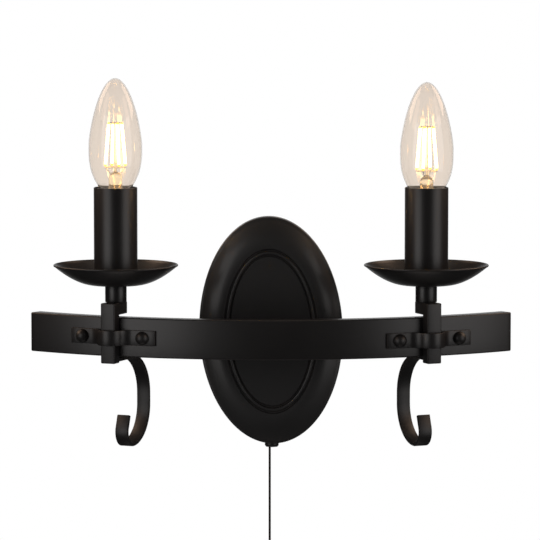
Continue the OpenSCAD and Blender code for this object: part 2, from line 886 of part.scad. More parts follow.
module bulb_stem(side) {
    color(clear)
    at_bulb(side)
        rotate_extrude()
            polygon([
                [0, -glass_l], [stem_flare_r, -glass_l], [stem_flare_r, -glass_l + 0.7],
                [4.6, -glass_l + 3.4], [4.4, -stem_neck - 2.4], [3.2, -stem_neck],
                [0.9, -stem_neck + 1.2], [0.8, -post_top], [0, -post_top]
            ]);
}

module each_filament() {
    for (a = [45:90:315])
        rotate([0, 0, a])
            children();
}

filament_in = 4.4;
filament_out = 7;
filament_lean = asin((filament_out - filament_in) / filament_l);
lead_in_r = 3.6;

module bulb_filaments(side) {
    color(glow)
    at_bulb(side)
        each_filament()
            translate([filament_in, 0, -filament_top])
                rotate([0, 180 - filament_lean, 0])
                    cylinder(d = filament_d, h = filament_l);
}

module wire_ring(r, z) {
    rotate_extrude()
        translate([r, z])
            circle(r = 0.35, $fn = 16);
}

module bulb_wires(side) {
    low = filament_top + filament_l * cos(filament_lean) + 0.6;
    color(steel)
    at_bulb(side) {
        wire_ring(filament_in, -filament_top + 0.5);
        for (a = [45, 135])
            rotate([0, 0, a])
                translate([-filament_in, 0, -filament_top + 0.5])
                    rotate([0, 90, 0])
                        cylinder(r = 0.3, h = 2 * filament_in);
        wire_ring(filament_out, -low);
        for (a = [45, 225])
            rotate([0, 0, a])
                translate([filament_out, 0, -low])
                    rotate([0, 180 + atan((filament_out - lead_in_r) / (stem_neck - low)), 0])
                        cylinder(r = 0.3, h = norm([filament_out - lead_in_r, stem_neck - low]));
    }
}

// Wiring

module terminal_block() {
    color(ivory)
    difference() {
        translate([-block_w / 2, block_y0, block_low])
            cube([block_w, block_t, block_h]);
        for (i = [-1:1]) {
            translate([i * block_pitch, block_mid_y, block_low - 1])
                cylinder(r = block_bore_r, h = block_h + 2);
            for (z = [4, block_h - 4])
                translate([i * block_pitch, block_mid_y, block_low + z])
                    rotate([-90, 0, 0])
                        cylinder(r = 1.9, h = block_t);
        }
    }
}

module terminal_screws() {
    color(brass)
    for (i = [-1:1])
        for (z = [4, block_h - 4])
            translate([i * block_pitch, block_mid_y + 1.8, block_low + z])
                rotate([-90, 0, 0])
                difference() {
                    cylinder(r = 1.8, h = 2.6);
                    translate([-2, -0.25, 1.9])
                        cube([4, 0.5, 1]);
                }
}

// Route of one feed wire, from the terminal block through the bar to the lampholder
function feed_route(side, k) =
    let (x = side * wire_side, z = k * wire_side,
        start_x = side * block_pitch + k * 0.87,
        back = -nipple_back)
    concat(
        [[start_x, block_mid_y - 0.5, block_low + 1.5], [start_x, block_mid_y - 0.5, block_low - 2],
            [side * 7 + k * 0.87, block_mid_y + 0.8, 12], [side * 5 + k * 0.9, back + 2.9 - k * 0.5, 6],
            [side * 2.4, back + 2.6 - k * 1.1, 2.2 + k], [x, back + 0.6, z + 0.2],
            [x, back - 2, z], [x, -spacer_cross + 4.5, z],
            [x + side * 0.5, -spacer_cross + 2, z], [x + side * 2.2, -spacer_cross + 0.2, z],
            [side * 7, -spacer_cross - 0.8, z], [side * 11, arc_y - bar_mid_r + 0.25, k * 1.6]],
        [for (i = [1:6]) let (a = side * (3.5 + (stem_angle - 5.5) * i / 6))
            [bar_mid_r * sin(a), arc_y - bar_mid_r * cos(a), k * 1.8]],
        [for (p = [[-side * 3.4, 0.8, k * 1.6 + 0.2], [-side * (1.2 + k * 0.6), 0.5, k + 2.2],
                [-side * k * 0.95, 0.1, k * 0.4 + 5.6], [-side * k * 0.95, 0, 10],
                [-side * k * 0.95, 0, (stem_low + stem_top) / 2], [-side * k * 0.95, 0, stem_top + 3.2]])
            from_stem(side, p)]
    );

function from_stem(side, p) =
    let (a = side * stem_angle, r = p[1] - stem_r)
    [p[0] * cos(a) - r * sin(a), arc_y + p[0] * sin(a) + r * cos(a), p[2]];

module feed_wires(side) {
    color(copper_blue)
        tube_along(feed_route(side, -1), wire_r);
    color(copper_brown)
        tube_along(feed_route(side, 1), wire_r);
}

// How far the two switch wires swing out round the nut at the plate's centre
wire_swing = 13;
switch_wire_r = 0.7;

module switch_wires() {
    tab_z = switch_top + tab_out;
    rise = block_low - tab_z;
    color(copper_brown)
    for (s = [-1, 1])
        tube_along([
            [s * tab_x + switch_x, switch_mid_y, tab_z + 0.3],
            [s * (tab_x + 0.3), switch_mid_y, tab_z + rise * 0.05],
            [s * (wire_swing - 2), switch_mid_y, tab_z + rise * 0.14],
            [s * wire_swing, switch_mid_y, tab_z + rise * 0.29],
            [s * wire_swing, switch_mid_y - 1, tab_z + rise * 0.46],
            [s * wire_swing, switch_mid_y - 1.5, tab_z + rise * 0.68],
            [s * (wire_swing - 1), block_mid_y + 1.6, tab_z + rise * 0.84],
            [s * (block_pitch + 1.6), block_mid_y + 1.6, tab_z + rise * 0.93],
            [s * block_pitch, block_mid_y + 1.2, block_low - 1],
            [s * block_pitch, block_mid_y + 1, block_low + 1.3]
        ], switch_wire_r);
}

// How high the earth wire loops over the terminal block
earth_loop = 8.5;

module earth_wire() {
    top = block_low + block_h;
    start_y = -bracket_t - earth_head_h - wire_r - 0.1;
    bow = block_mid_y - start_y;
    color(earth_green)
    tube_along([
        [earth_x, start_y, 0.6], [earth_x, start_y - 0.2, top * 0.09],
        [earth_x + 0.6, start_y + bow * 0.38, top * 0.3],
        [earth_x + 1, start_y + bow * 0.69, top * 0.55],
        [earth_x + 1.2, start_y + bow * 0.81, top * 0.82],
        [earth_x + 2, start_y + bow * 0.9, top + 1],
        [earth_x * 0.67, block_mid_y, top + earth_loop * 0.7],
        [earth_x * 0.36, block_mid_y, top + earth_loop],
        [earth_x * 0.06, block_mid_y, top + earth_loop * 0.76],
        [0, block_mid_y, top + 3], [0, block_mid_y, top - 1.5]
    ], wire_r);
}

// Pull switch

module switch_housing() {
    color(plastic)
    difference() {
        union() {
            translate([switch_x - switch_w / 2, switch_y0, switch_low])
                cube([switch_w, switch_y1 - switch_y0 - 1.05, switch_top - switch_low]);
            translate([switch_x, switch_mid_y, -plate_b - bush_out - 0.4])
                cylinder(d = neck_d, h = switch_low + plate_b + bush_out + 0.5);
        }
        translate([switch_x - switch_w / 2 + switch_wall, switch_y0 + switch_wall, cavity_low])
            cube([switch_w - 2 * switch_wall, switch_y1 - switch_y0, switch_top - switch_wall - cavity_low]);
        translate([switch_x, switch_mid_y, -plate_b - 10])
            cylinder(r = 2.5, h = cavity_low + plate_b + 11);
        for (s = [-1, 1])
            translate([switch_x + s * tab_x, switch_mid_y, switch_top])
                cube([tab_t + 2 * fit, tab_w + 4 * fit, 6], center = true);
    }
}

module switch_cover() {
    color(plastic)
    translate([switch_x - switch_w / 2, switch_y1 - 1, switch_low + 0.3])
        cube([switch_w, 1, switch_top - switch_low - 0.3]);
}

module switch_neck_nut() {
    color(black)
    translate([switch_x, switch_mid_y, -plate_b - bush_out])
    difference() {
        cylinder(d = neck_nut_d, h = bush_out - 0.1);
        translate([0, 0, -1])
            cylinder(d = neck_d + 2 * fit, h = bush_out + 2);
    }
}

module switch_plunger() {
    color(ivory)
    translate([cord_x, switch_mid_y, 0]) {
        translate([0, 0, plunger_low])
            cylinder(r = plunger_r, h = plunger_flange_z - plunger_low);
        translate([0, 0, plunger_flange_z])
            cylinder(r = plunger_flange_r, h = 2);
    }
}

spring_turns = 7;
spring_wire_r = 0.3;
spring_r = 2.25;

module switch_spring() {
    low = cavity_low + spring_wire_r + 0.05;
    high = plunger_flange_z - spring_wire_r - 0.05;
    steps = spring_turns * 8;
    color(steel)
    tube_along([for (i = [0:steps])
        [cord_x + spring_r * cos(i * 45), switch_mid_y + spring_r * sin(i * 45),
            low + (high - low) * i / steps]], spring_wire_r, 6);
}

module switch_contacts() {
    color(brass)
    for (s = [-1, 1])
        translate([switch_x + s * tab_x - tab_t / 2, switch_mid_y - tab_w / 2, switch_top + tab_out - tab_l])
            cube([tab_t, tab_w, tab_l]);
}

module pull_cord() {
    color(plastic)
        tube_along(cord_route, cord_d / 2);
}

module pull_knob() {
    r = knob_d / 2;
    low = -knob_l;
    color(black)
    translate([cord_x, switch_mid_y, knob_top])
    difference() {
        rotate_extrude()
            polygon(concat(
                [[0, 0], [1.9, 0], [2.3, -0.6], [2.5, -3], [3.1, -5.5]],
                [for (i = [0:6]) let (t = i / 6)
                    [3.1 + (r - 3.1) * sin(90 * t), -5.5 + (low + 5.5 + r * 0.75) * t]],
                [for (i = [1:5]) [r * cos(15 * i), low + r * 0.75 * (1 - sin(15 * i))]],
                [[r * 0.2, low], [0, low]]
            ));
        translate([0, 0, -cord_in_knob])
            cylinder(r = cord_d / 2 + 0.15, h = cord_in_knob + 1);
    }
}

wall_bracket();
earth_screw();
backplate();
backplate_side_screws();
spacer_tube();
centre_nipple();
centre_nut();
bar();
terminal_block();
terminal_screws();
switch_wires();
earth_wire();
switch_housing();
switch_cover();
switch_neck_nut();
switch_plunger();
switch_spring();
switch_contacts();
pull_cord();
pull_knob();
feed_wires(LEFT);  // left_feed_wires
feed_wires(RIGHT);  // right_feed_wires
clamp(LEFT);  // left_clamp
clamp(RIGHT);  // right_clamp
hook(LEFT);  // left_hook
hook(RIGHT);  // right_hook
clip(LEFT);  // left_clip
clip(RIGHT);  // right_clip
clip_rivets(LEFT);  // left_clip_rivets
clip_rivets(RIGHT);  // right_clip_rivets
stem_collar(LEFT);  // left_stem_collar
stem_collar(RIGHT);  // right_stem_collar
stem_nipple(LEFT);  // left_stem_nipple
stem_nipple(RIGHT);  // right_stem_nipple
stem_nut(LEFT);  // left_stem_nut
stem_nut(RIGHT);  // right_stem_nut
drip_pan(LEFT);  // left_drip_pan
drip_pan(RIGHT);  // right_drip_pan
candle_tube(LEFT);  // left_candle_tube
candle_tube(RIGHT);  // right_candle_tube
lampholder(LEFT);  // left_lampholder
lampholder(RIGHT);  // right_lampholder
holder_contacts(LEFT);  // left_holder_contacts
holder_contacts(RIGHT);  // right_holder_contacts
bulb_glass(LEFT);  // left_bulb_glass
bulb_glass(RIGHT);  // right_bulb_glass
bulb_cap(LEFT);  // left_bulb_cap
bulb_cap(RIGHT);  // right_bulb_cap
bulb_insulator(LEFT);  // left_bulb_insulator
bulb_insulator(RIGHT);  // right_bulb_insulator
bulb_tip(LEFT);  // left_bulb_tip
bulb_tip(RIGHT);  // right_bulb_tip
bulb_stem(LEFT);  // left_bulb_stem
bulb_stem(RIGHT);  // right_bulb_stem
bulb_filaments(LEFT);  // left_bulb_filaments
bulb_filaments(RIGHT);  // right_bulb_filaments
bulb_wires(LEFT);  // left_bulb_wires
bulb_wires(RIGHT);  // right_bulb_wires
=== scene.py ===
import math

import bmesh
import bpy
from mathutils import Matrix, Vector


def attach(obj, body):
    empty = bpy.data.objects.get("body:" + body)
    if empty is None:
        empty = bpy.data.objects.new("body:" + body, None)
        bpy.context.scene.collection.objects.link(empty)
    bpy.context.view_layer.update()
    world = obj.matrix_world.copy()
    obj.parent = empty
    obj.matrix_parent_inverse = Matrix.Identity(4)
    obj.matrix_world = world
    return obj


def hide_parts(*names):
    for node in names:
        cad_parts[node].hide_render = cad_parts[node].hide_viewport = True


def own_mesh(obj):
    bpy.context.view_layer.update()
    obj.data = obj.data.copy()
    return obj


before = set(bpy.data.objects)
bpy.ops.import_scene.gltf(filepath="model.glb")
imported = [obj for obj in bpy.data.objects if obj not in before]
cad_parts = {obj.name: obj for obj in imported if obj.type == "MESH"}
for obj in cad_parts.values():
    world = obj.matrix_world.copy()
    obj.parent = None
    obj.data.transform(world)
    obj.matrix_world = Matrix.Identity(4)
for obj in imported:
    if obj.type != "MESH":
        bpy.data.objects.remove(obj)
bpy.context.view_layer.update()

mm = 0.001


# The view. The lamp is seen from a little above and from far away, through a long lens,
# as a catalogue photograph is taken. The wall it hangs on is left white.
camera_place = Vector((-0.7, -2435.0, 259.0)) * mm
camera_aim = Vector((-0.7, -45.0, 43.8)) * mm
camera_data = bpy.data.cameras.new("catalogue_camera")
camera_data.sensor_width = 36.0
camera_data.lens = 243.6
camera = bpy.data.objects.new("catalogue_camera", camera_data)
camera.location = camera_place
camera.rotation_euler = (camera_aim - camera_place).to_track_quat("-Z", "Y").to_euler()
bpy.context.scene.collection.objects.link(camera)
bpy.context.scene.camera = camera
bpy.context.scene.view_settings.view_transform = "Standard"


# The pull knob. A black acorn-shaped knob, turned from wood, hangs on the cord's end and
# weighs it down. The cord goes up its bore and is knotted there.
def settle():
    """Writes the place of what is selected into its mesh or curve."""
    bpy.ops.object.transform_apply(location=True, rotation=True, scale=True)


def begin(name, add, **where):
    """Deselects everything, adds a primitive under this name and opens it for editing."""
    if bpy.context.mode != "OBJECT":
        bpy.ops.object.mode_set(mode="OBJECT")
    bpy.ops.object.select_all(action="DESELECT")
    add(**where)
    piece = bpy.context.object
    piece.name = name
    settle()
    bpy.ops.object.mode_set(mode="EDIT")
    bpy.ops.mesh.select_mode(type="VERT")
    bpy.ops.mesh.select_all(action="SELECT")
    return piece


def pick(piece, kind, test):
    """Selects only the vertices, edges or faces that pass the test."""
    bpy.ops.mesh.select_mode(type=kind)
    bpy.ops.mesh.select_all(action="DESELECT")
    shape = bmesh.from_edit_mesh(piece.data)
    for element in {"VERT": shape.verts, "EDGE": shape.edges, "FACE": shape.faces}[kind]:
        if test(element):
            element.select_set(True)
    shape.select_flush_mode()
    bmesh.update_edit_mesh(piece.data)


def face_out():
    """Merges the doubles and turns every face outwards."""
    bpy.ops.mesh.select_all(action="SELECT")
    bpy.ops.mesh.remove_doubles(threshold=0.002 * mm)
    bpy.ops.mesh.normals_make_consistent(inside=False)


def cap_ends(piece):
    """Fills each open end of a swept or stacked shape."""
    pick(piece, "EDGE", lambda e: e.is_boundary)
    bpy.ops.mesh.fill_holes(sides=0)
    face_out()


def pull_out(*way):
    """Extrudes what is selected by this much along X, Y and Z, in millimetres."""
    bpy.ops.mesh.extrude_region_move(
        TRANSFORM_OT_translate={"value": tuple(part * mm for part in way)})


def stack_rings(name, rings, sides):
    """Extrudes an oval from ring to ring: a ring is two radii and a height, in millimetres."""
    wide, deep, height = rings[0]
    piece = begin(name, bpy.ops.mesh.primitive_circle_add, vertices=sides, radius=wide * mm,
                  location=(0, 0, height * mm))
    bpy.ops.transform.resize(value=(1, deep / wide, 1), center_override=(0, 0, height * mm))
    for next_wide, next_deep, next_height in rings[1:]:
        pull_out(0, 0, next_height - height)
        bpy.ops.transform.resize(value=(next_wide / wide, next_deep / deep, 1),
                                 center_override=(0, 0, next_height * mm))
        wide, deep, height = next_wide, next_deep, next_height
    return piece


def turn_on_lathe(name, outline, sides):
    """Stacks round rings along an outline of radius and height, in millimetres."""
    return stack_rings(name, [(radius, radius, height) for radius, height in outline], sides)


def make_active(piece):
    """Selects this piece alone, outside edit mode."""
    if bpy.context.mode != "OBJECT":
        bpy.ops.object.mode_set(mode="OBJECT")
    bpy.ops.object.select_all(action="DESELECT")
    piece.select_set(True)
    bpy.context.view_layer.objects.active = piece


def leave(piece, smooth=35.0):
    """Closes the edit and shades the piece smooth where its faces meet at a small angle."""
    make_active(piece)
    bpy.ops.object.shade_smooth_by_angle(angle=math.radians(smooth))


def dress(piece, finish, body, node):
    """Gives a finished piece its material, hangs it on its body's empty and hides the frame's piece it
    stands for.
    """
    piece.data.materials.clear()
    piece.data.materials.append(finish)
    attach(piece, body)
    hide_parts(node)


def feed(tree, node, sockets):
    """Gives inputs plain values, or links where a value is another node's output."""
    for name, value in sockets.items():
        socket = node.inputs[name.replace("_", " ") if isinstance(name, str) else name]
        if isinstance(value, bpy.types.NodeSocket):
            tree.links.new(value, socket)
        else:
            socket.default_value = value


def new_finish(name, **sockets):
    """A material, its node tree and its Principled shader with these values."""
    finish = bpy.data.materials.new(name)
    finish.use_nodes = True
    shader = finish.node_tree.nodes["Principled BSDF"]
    feed(finish.node_tree, shader, sockets)
    return finish, finish.node_tree, shader


def add_node(tree, kind, settings=None, **sockets):
    """Adds a shader node of this kind with these settings and inputs."""
    node = tree.nodes.new("ShaderNode" + kind)
    for key, value in (settings or {}).items():
        setattr(node, key, value)
    feed(tree, node, sockets)
    return node


def on_piece(tree):
    """The place on the piece, from its own origin."""
    return add_node(tree, "TexCoord").outputs["Object"]


def ramp(tree, factor, *stops):
    """A colour ramp through these stops of position and colour."""
    node = add_node(tree, "ValToRGB", Fac=factor)
    elements = node.color_ramp.elements
    while len(elements) < len(stops):
        elements.new(0.5)
    for element, (position, colour) in zip(elements, stops):
        element.position = position
        element.color = (*colour, 1.0)
    return node.outputs["Color"]


def bump(tree, shader, height, strength, depth):
    """Raises the surface by a height pattern; depth is in millimetres."""
    node = add_node(tree, "Bump", Strength=strength, Distance=depth * mm, Height=height)
    feed(tree, shader, {"Normal": node.outputs["Normal"]})


def lacquered_wood():
    """Black lacquer on turned wood, whose grain shows a little in tone and gloss."""
    finish, tree, shader = new_finish("lacquered_wood", Specular_IOR_Level=0.5)
    along = add_node(tree, "Mapping", Vector=on_piece(tree), Scale=(900, 900, 60))
    noise = add_node(tree, "TexNoise", Vector=along.outputs["Vector"], Scale=1.0, Detail=4.0)
    grain = noise.outputs["Fac"]
    tone = ramp(tree, grain, (0.3, (0.008, 0.007, 0.007)), (0.8, (0.020, 0.015, 0.013)))
    gloss = ramp(tree, grain, (0.2, (0.28,) * 3), (0.9, (0.46,) * 3))
    feed(tree, shader, {"Base Color": tone, "Roughness": gloss})
    bump(tree, shader, grain, 0.25, 0.08)
    return finish


cord_x, cord_y = -0.9, -5.0
cord_radius = 0.75
knob_top, knob_length, knob_radius = -200.0, 24.0, 6.5
knob_neck_radius, knob_neck_length = 3.1, 5.5
knob_round = knob_radius * 0.75
knob_bore = cord_radius + 0.15
cord_low = -208.0
belly_length, belly_steps = knob_length - knob_neck_length - knob_round, 14
knob_outline = [(knob_bore, cord_low), (knob_bore, knob_top - 0.3), (knob_bore + 0.3, knob_top),
                (1.9, knob_top), (2.3, knob_top - 0.6), (2.35, knob_top - 1.8),
                (2.5, knob_top - 3.0), (2.75, knob_top - 4.4)]
for step in range(belly_steps + 1):
    share = step / belly_steps
    swell = (knob_radius - knob_neck_radius) * math.sin(math.pi / 2 * share)
    knob_outline.append((knob_neck_radius + swell,
                         knob_top - knob_neck_length - belly_length * share))
for step in range(1, 11):
    turn = math.radians(8 * step)
    knob_outline.append((knob_radius * math.cos(turn),
                         knob_top - knob_length + knob_round * (1 - math.sin(turn))))
knob_outline.append((0.9, knob_top - knob_length))
knob = turn_on_lathe("acorn_knob", knob_outline, 48)
cap_ends(knob)
bpy.ops.transform.translate(value=(cord_x * mm, cord_y * mm, 0))
leave(knob, 40)
dress(knob, lacquered_wood(), "pull_switch", "pull_knob")


# The pull cord. A thin braided cord, dark brown, comes down out of the switch's bush in the
# foot of the plate, and the knob keeps it straight.
def cord_braid():
    """Dark brown braid: a slanting wave in its tone and its height."""
    finish, tree, shader = new_finish("cord_braid", Roughness=0.85, Specular_IOR_Level=0.12)
    wave = add_node(tree, "TexWave", {"bands_direction": "DIAGONAL"}, Vector=on_piece(tree),
                    Scale=1400.0, Distortion=1.5, Detail=2.0)
    braid = wave.outputs["Fac"]
    tone = ramp(tree, braid, (0.1, (0.006, 0.004, 0.003)), (0.9, (0.018, 0.013, 0.011)))
    feed(tree, shader, {"Base Color": tone})
    bump(tree, shader, braid, 0.5, 0.12)
    return finish


def start_line(name, radius):
    """A round line with nothing in it yet; its radius is in millimetres."""
    curve = bpy.data.curves.new(name, "CURVE")
    curve.dimensions = "3D"
    curve.bevel_depth = radius * mm
    curve.bevel_resolution = 3
    curve.resolution_u = 8
    curve.use_fill_caps = True
    line = bpy.data.objects.new(name, curve)
    bpy.context.scene.collection.objects.link(line)
    return line


def run_straight(line, points, closed=False):
    """Runs the line straight from point to point, in millimetres."""
    spline = line.data.splines.new("POLY")
    spline.points.add(len(points) - 1)
    spline.use_cyclic_u = closed
    for spot, point in zip(spline.points, points):
        spot.co = (*(Vector(point) * mm), 1)


cord_top = -62.0
cord_heights = [cord_top] + list(range(-68, int(cord_low) - 1, -4))
cord_route = [(cord_x, cord_y, height) for height in cord_heights]
cord = start_line("hanging_cord", cord_radius)
run_straight(cord, cord_route)
dress(cord, cord_braid(), "pull_switch", "pull_cord")


# The studio. Two tall softboxes stand left and right in front of the lamp, and warm ones hang
# high at its sides and over it. Wall and floor are white paper, and the room before the lamp
# is dim. The softboxes aren't seen through the glass of the bulbs.
lamp_middle = Vector((0, -40.0, 30.0)) * mm


def softbox(name, place, size, watts, colour):
    """A warm or white area light that faces the lamp; its place and size are in metres."""
    light = bpy.data.lights.new(name, "AREA")
    light.shape = "RECTANGLE"
    light.size, light.size_y = size
    light.energy = watts
    light.color = colour
    lamp = bpy.data.objects.new(name, light)
    lamp.location = place
    lamp.rotation_euler = (lamp_middle - Vector(place)).to_track_quat("-Z", "Y").to_euler()
    lamp.visible_transmission = False
    bpy.context.scene.collection.objects.link(lamp)


softbox("softbox_left", (-1.04, -1.08, 0.12), (0.95, 1.2), 6.1, (1.0, 0.97, 0.96))
softbox("softbox_right", (1.24, -0.84, 0.12), (1.05, 1.2), 5.7, (1.0, 0.97, 0.96))
softbox("softbox_high_left", (-1.15, 0.40, 0.92), (0.8, 0.9), 8.0, (1.0, 0.70, 0.50))
softbox("softbox_high_right", (1.15, 0.40, 0.92), (0.8, 0.9), 8.0, (1.0, 0.70, 0.50))
softbox("softbox_warm_left", (-1.20, -0.50, 0.82), (0.6, 0.6), 2.0, (1.0, 0.66, 0.46))
softbox("softbox_warm_right", (1.20, -0.50, 0.82), (0.6, 0.6), 2.0, (1.0, 0.66, 0.46))
softbox("softbox_top", (0, 0.10, 1.5), (1.0, 0.8), 2.5, (1.0, 0.84, 0.70))


def reckon(tree, operation, first, second):
    """The result of this operation on two numbers or outputs."""
    node = add_node(tree, "Math", {"operation": operation})
    feed(tree, node, {0: first, 1: second})
    return node.outputs[0]


def mix(tree, kind, factor, first, second):
    """Mixes two numbers or two colours: all the first at 0, all the second at 1."""
    place, result = {"FLOAT": (2, 0), "RGBA": (6, 2)}[kind]
    node = add_node(tree, "Mix", {"data_type": kind}, Factor=factor)
    feed(tree, node, {place: first, place + 1: second})
    return node.outputs[result]


def studio_world():
    """White where the camera or glass looks; metal mirrors a white wall and a dim room."""
    world = bpy.data.worlds.new("studio")
    bpy.context.scene.world = world
    world.use_nodes = True
    tree = world.node_tree
    path = add_node(tree, "LightPath").outputs
    axes = add_node(tree, "SeparateXYZ", Vector=add_node(tree, "TexCoord").outputs["Generated"])
    room = add_node(tree, "MapRange", Value=axes.outputs["Y"],
                    From_Min=0.88, From_Max=0.99, To_Min=0.04, To_Max=1.0)
    seen = reckon(tree, "MAXIMUM", path["Is Camera Ray"], path["Is Transmission Ray"])
    mirrored = mix(tree, "FLOAT", path["Is Glossy Ray"], 0.4, room.outputs["Result"])
    feed(tree, tree.nodes["Background"], {"Color": (1, 1, 1, 1),
                                          "Strength": mix(tree, "FLOAT", seen, mirrored, 1.0)})


studio_world()

floor_size, floor_height = 0.9, -2.0
floor = begin("studio_floor", bpy.ops.mesh.primitive_plane_add, size=floor_size,
              location=(0, 0, floor_height))
leave(floor)
paper, paper_tree, paper_shader = new_finish("floor_paper", Roughness=0.9, Specular_IOR_Level=0.1,
                                            Base_Color=(0.86, 0.86, 0.86, 1), Emission_Color=(1, 1, 1, 1))
seen_paper = add_node(paper_tree, "LightPath").outputs["Is Camera Ray"]
feed(paper_tree, paper_shader, {"Emission Strength": reckon(paper_tree, "MULTIPLY", seen_paper, 0.5)})
floor.data.materials.append(paper)


# The wall bracket and its hardware. A pressed steel strip, zinc plated, takes the two wall
# screws in its slots, and a brass screw clamps the earth wire to it.
def new_group(name, takes, gives):
    """A node group with these inputs and outputs, each a name and a kind of socket."""
    group = bpy.data.node_groups.new(name, "ShaderNodeTree")
    for way, sockets in (("INPUT", takes), ("OUTPUT", gives)):
        for socket, kind in sockets.items():
            group.interface.new_socket(name=socket, in_out=way, socket_type="NodeSocket" + kind)
    return group, group.nodes.new("NodeGroupInput").outputs, group.nodes.new("NodeGroupOutput")


def cloud_group():
    """A tone that drifts over some millimetres, and a fine grain, as plating has."""
    group, given, result = new_group("cloud_and_grain", {"Scale": "Float"},
                                     {"Tone": "Float", "Grain": "Float"})
    place = on_piece(group)
    cloud = add_node(group, "TexNoise", Vector=place, Scale=given["Scale"], Detail=3.0, Roughness=0.6)
    fine = add_node(group, "TexNoise", Vector=place, Scale=2600.0, Detail=2.0)
    feed(group, result, {"Tone": cloud.outputs["Fac"], "Grain": fine.outputs["Fac"]})
    return group


cloud_and_grain = cloud_group()


def clouded(tree, shader, dark, light, scale, grain_strength, grain_depth):
    """Lets the colour drift between two tones and adds the grain; gives back drift and colour."""
    pattern = add_node(tree, "Group", {"node_tree": cloud_and_grain}, Scale=scale)
    colour = ramp(tree, pattern.outputs["Tone"], (0.3, dark), (0.7, light))
    feed(tree, shader, {"Base Color": colour})
    bump(tree, shader, pattern.outputs["Grain"], grain_strength, grain_depth)
    return pattern.outputs["Tone"], colour


def plated(name, dark, light, rough_low, rough_high):
    """A bare or plated metal whose tone and gloss drift a little."""
    finish, tree, shader = new_finish(name, Metallic=1.0, Specular_IOR_Level=0.5)
    drift, _ = clouded(tree, shader, dark, light, 160.0, 0.2, 0.02)
    gloss = ramp(tree, drift, (0.25, (rough_high,) * 3), (0.75, (rough_low,) * 3))
    feed(tree, shader, {"Roughness": gloss})
    return finish


def finish_nodes(finish, *nodes):
    """Gives this material to pieces that keep the shape they have in the frame."""
    for name in nodes:
        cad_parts[name].data.materials.clear()
        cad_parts[name].data.materials.append(finish)


zinc = plated("zinc_plate", (0.50, 0.50, 0.52), (0.68, 0.68, 0.69), 0.30, 0.48)
brass = plated("plain_brass", (0.62, 0.46, 0.20), (0.80, 0.64, 0.32), 0.22, 0.40)
finish_nodes(zinc, "wall_bracket", "centre_nipple", "centre_nut")
finish_nodes(brass, "earth_screw")


# The terminal block and the wires. An ivory block joins the supply to the lamp's own wires:
# brown and blue pairs run through the bar to each light, and a striped one goes to earth.
def moulded(name, dark, light, roughness=0.45):
    """A moulded plastic: a faint cloud in its colour and a fine grain."""
    finish, tree, shader = new_finish(name, Roughness=roughness, Specular_IOR_Level=0.5)
    clouded(tree, shader, dark, light, 90.0, 0.25, 0.03)
    return finish


ivory_plastic = moulded("ivory_plastic", (0.66, 0.60, 0.48), (0.74, 0.69, 0.58))
finish_nodes(ivory_plastic, "terminal_block")
finish_nodes(brass, "terminal_screws")

bow_radius, bow_reach = 262.0, 70.0
bow_middle_y = bow_radius - bow_reach
bar_depth, bar_wall = 10.0, 2.0
candle_radius, candle_aside = bow_radius - bar_depth / 2, 102.0
candle_angle = math.asin(candle_aside / candle_radius)
block_y, block_low, block_top = -8.8, 18.0, 33.0
sides = {"left": -1, "right": 1}


def moved(x, y, z):
    """The matrix of a move, in millimetres."""
    return Matrix.Translation((x * mm, y * mm, z * mm))


def candle_place(side):
    """Puts a piece that is drawn round the candle axis, facing -Y, at one end of the bar."""
    return (moved(0, bow_middle_y, 0) @ Matrix.Rotation(side * candle_angle, 4, "Z")
            @ moved(0, -candle_radius, 0))


def feed_route(side, core):
    """One feed wire's way, from the block through the centre tube and the bar to a lampholder."""
    pitch, core_gap, mouth_y, cross_y = 8.4, 1.2, -7.0, -61.5
    x, z = side * core_gap, core * core_gap
    route = [(side * pitch + core * 0.87, block_y - 0.5, block_low + 1.5),
             (side * pitch + core * 0.87, block_y - 0.5, block_low - 2),
             (side * 7 + core * 0.87, block_y + 0.8, 12),
             (side * 5 + core * 0.9, mouth_y + 2.9 - core * 0.5, 6),
             (side * 2.4, mouth_y + 2.6 - core * 1.1, 2.2 + core),
             (x, mouth_y + 0.6, z + 0.2), (x, mouth_y - 2, z), (x, cross_y + 4.5, z),
             (x + side * 0.5, cross_y + 2, z), (x + side * 2.2, cross_y + 0.2, z),
             (side * 7, cross_y - 0.8, z)]
    channel_radius = bow_radius - bar_wall - (bar_depth - bar_wall) / 2
    route.append((side * 11, bow_middle_y - channel_radius + 0.25, core * 1.6))
    for step in range(1, 7):
        turn = side * math.radians(3.5 + (math.degrees(candle_angle) - 5.5) * step / 6)
        route.append((channel_radius * math.sin(turn), bow_middle_y - channel_radius * math.cos(turn),
                      core * 1.8))
    stem_low, stem_top = 14.9, 58.3
    for point in ((-side * 3.4, 0.8, core * 1.6 + 0.2), (-side * (1.2 + core * 0.6), 0.5, core + 2.2),
                  (-side * core * 0.95, 0.1, core * 0.4 + 5.6), (-side * core * 0.95, 0, 10),
                  (-side * core * 0.95, 0, (stem_low + stem_top) / 2),
                  (-side * core * 0.95, 0, stem_top + 3.2)):
        route.append(tuple(candle_place(side) @ (Vector(point) * mm) / mm))
    return route


def wire_insulation(name, dark, light, stripe=None):
    """Glossy insulation, with bands of a second colour where one is given."""
    finish, tree, shader = new_finish(name, Roughness=0.32, Specular_IOR_Level=0.5)
    _, colour = clouded(tree, shader, dark, light, 300.0, 0.15, 0.02)
    if stripe:
        wave = add_node(tree, "TexWave", {"bands_direction": "X"}, Vector=on_piece(tree), Scale=140.0)
        bands = ramp(tree, wave.outputs["Fac"], (0.55, (0, 0, 0)), (0.62, (1, 1, 1)))
        feed(tree, shader, {"Base Color": mix(tree, "RGBA", bands, colour, (*stripe, 1))})
    return finish


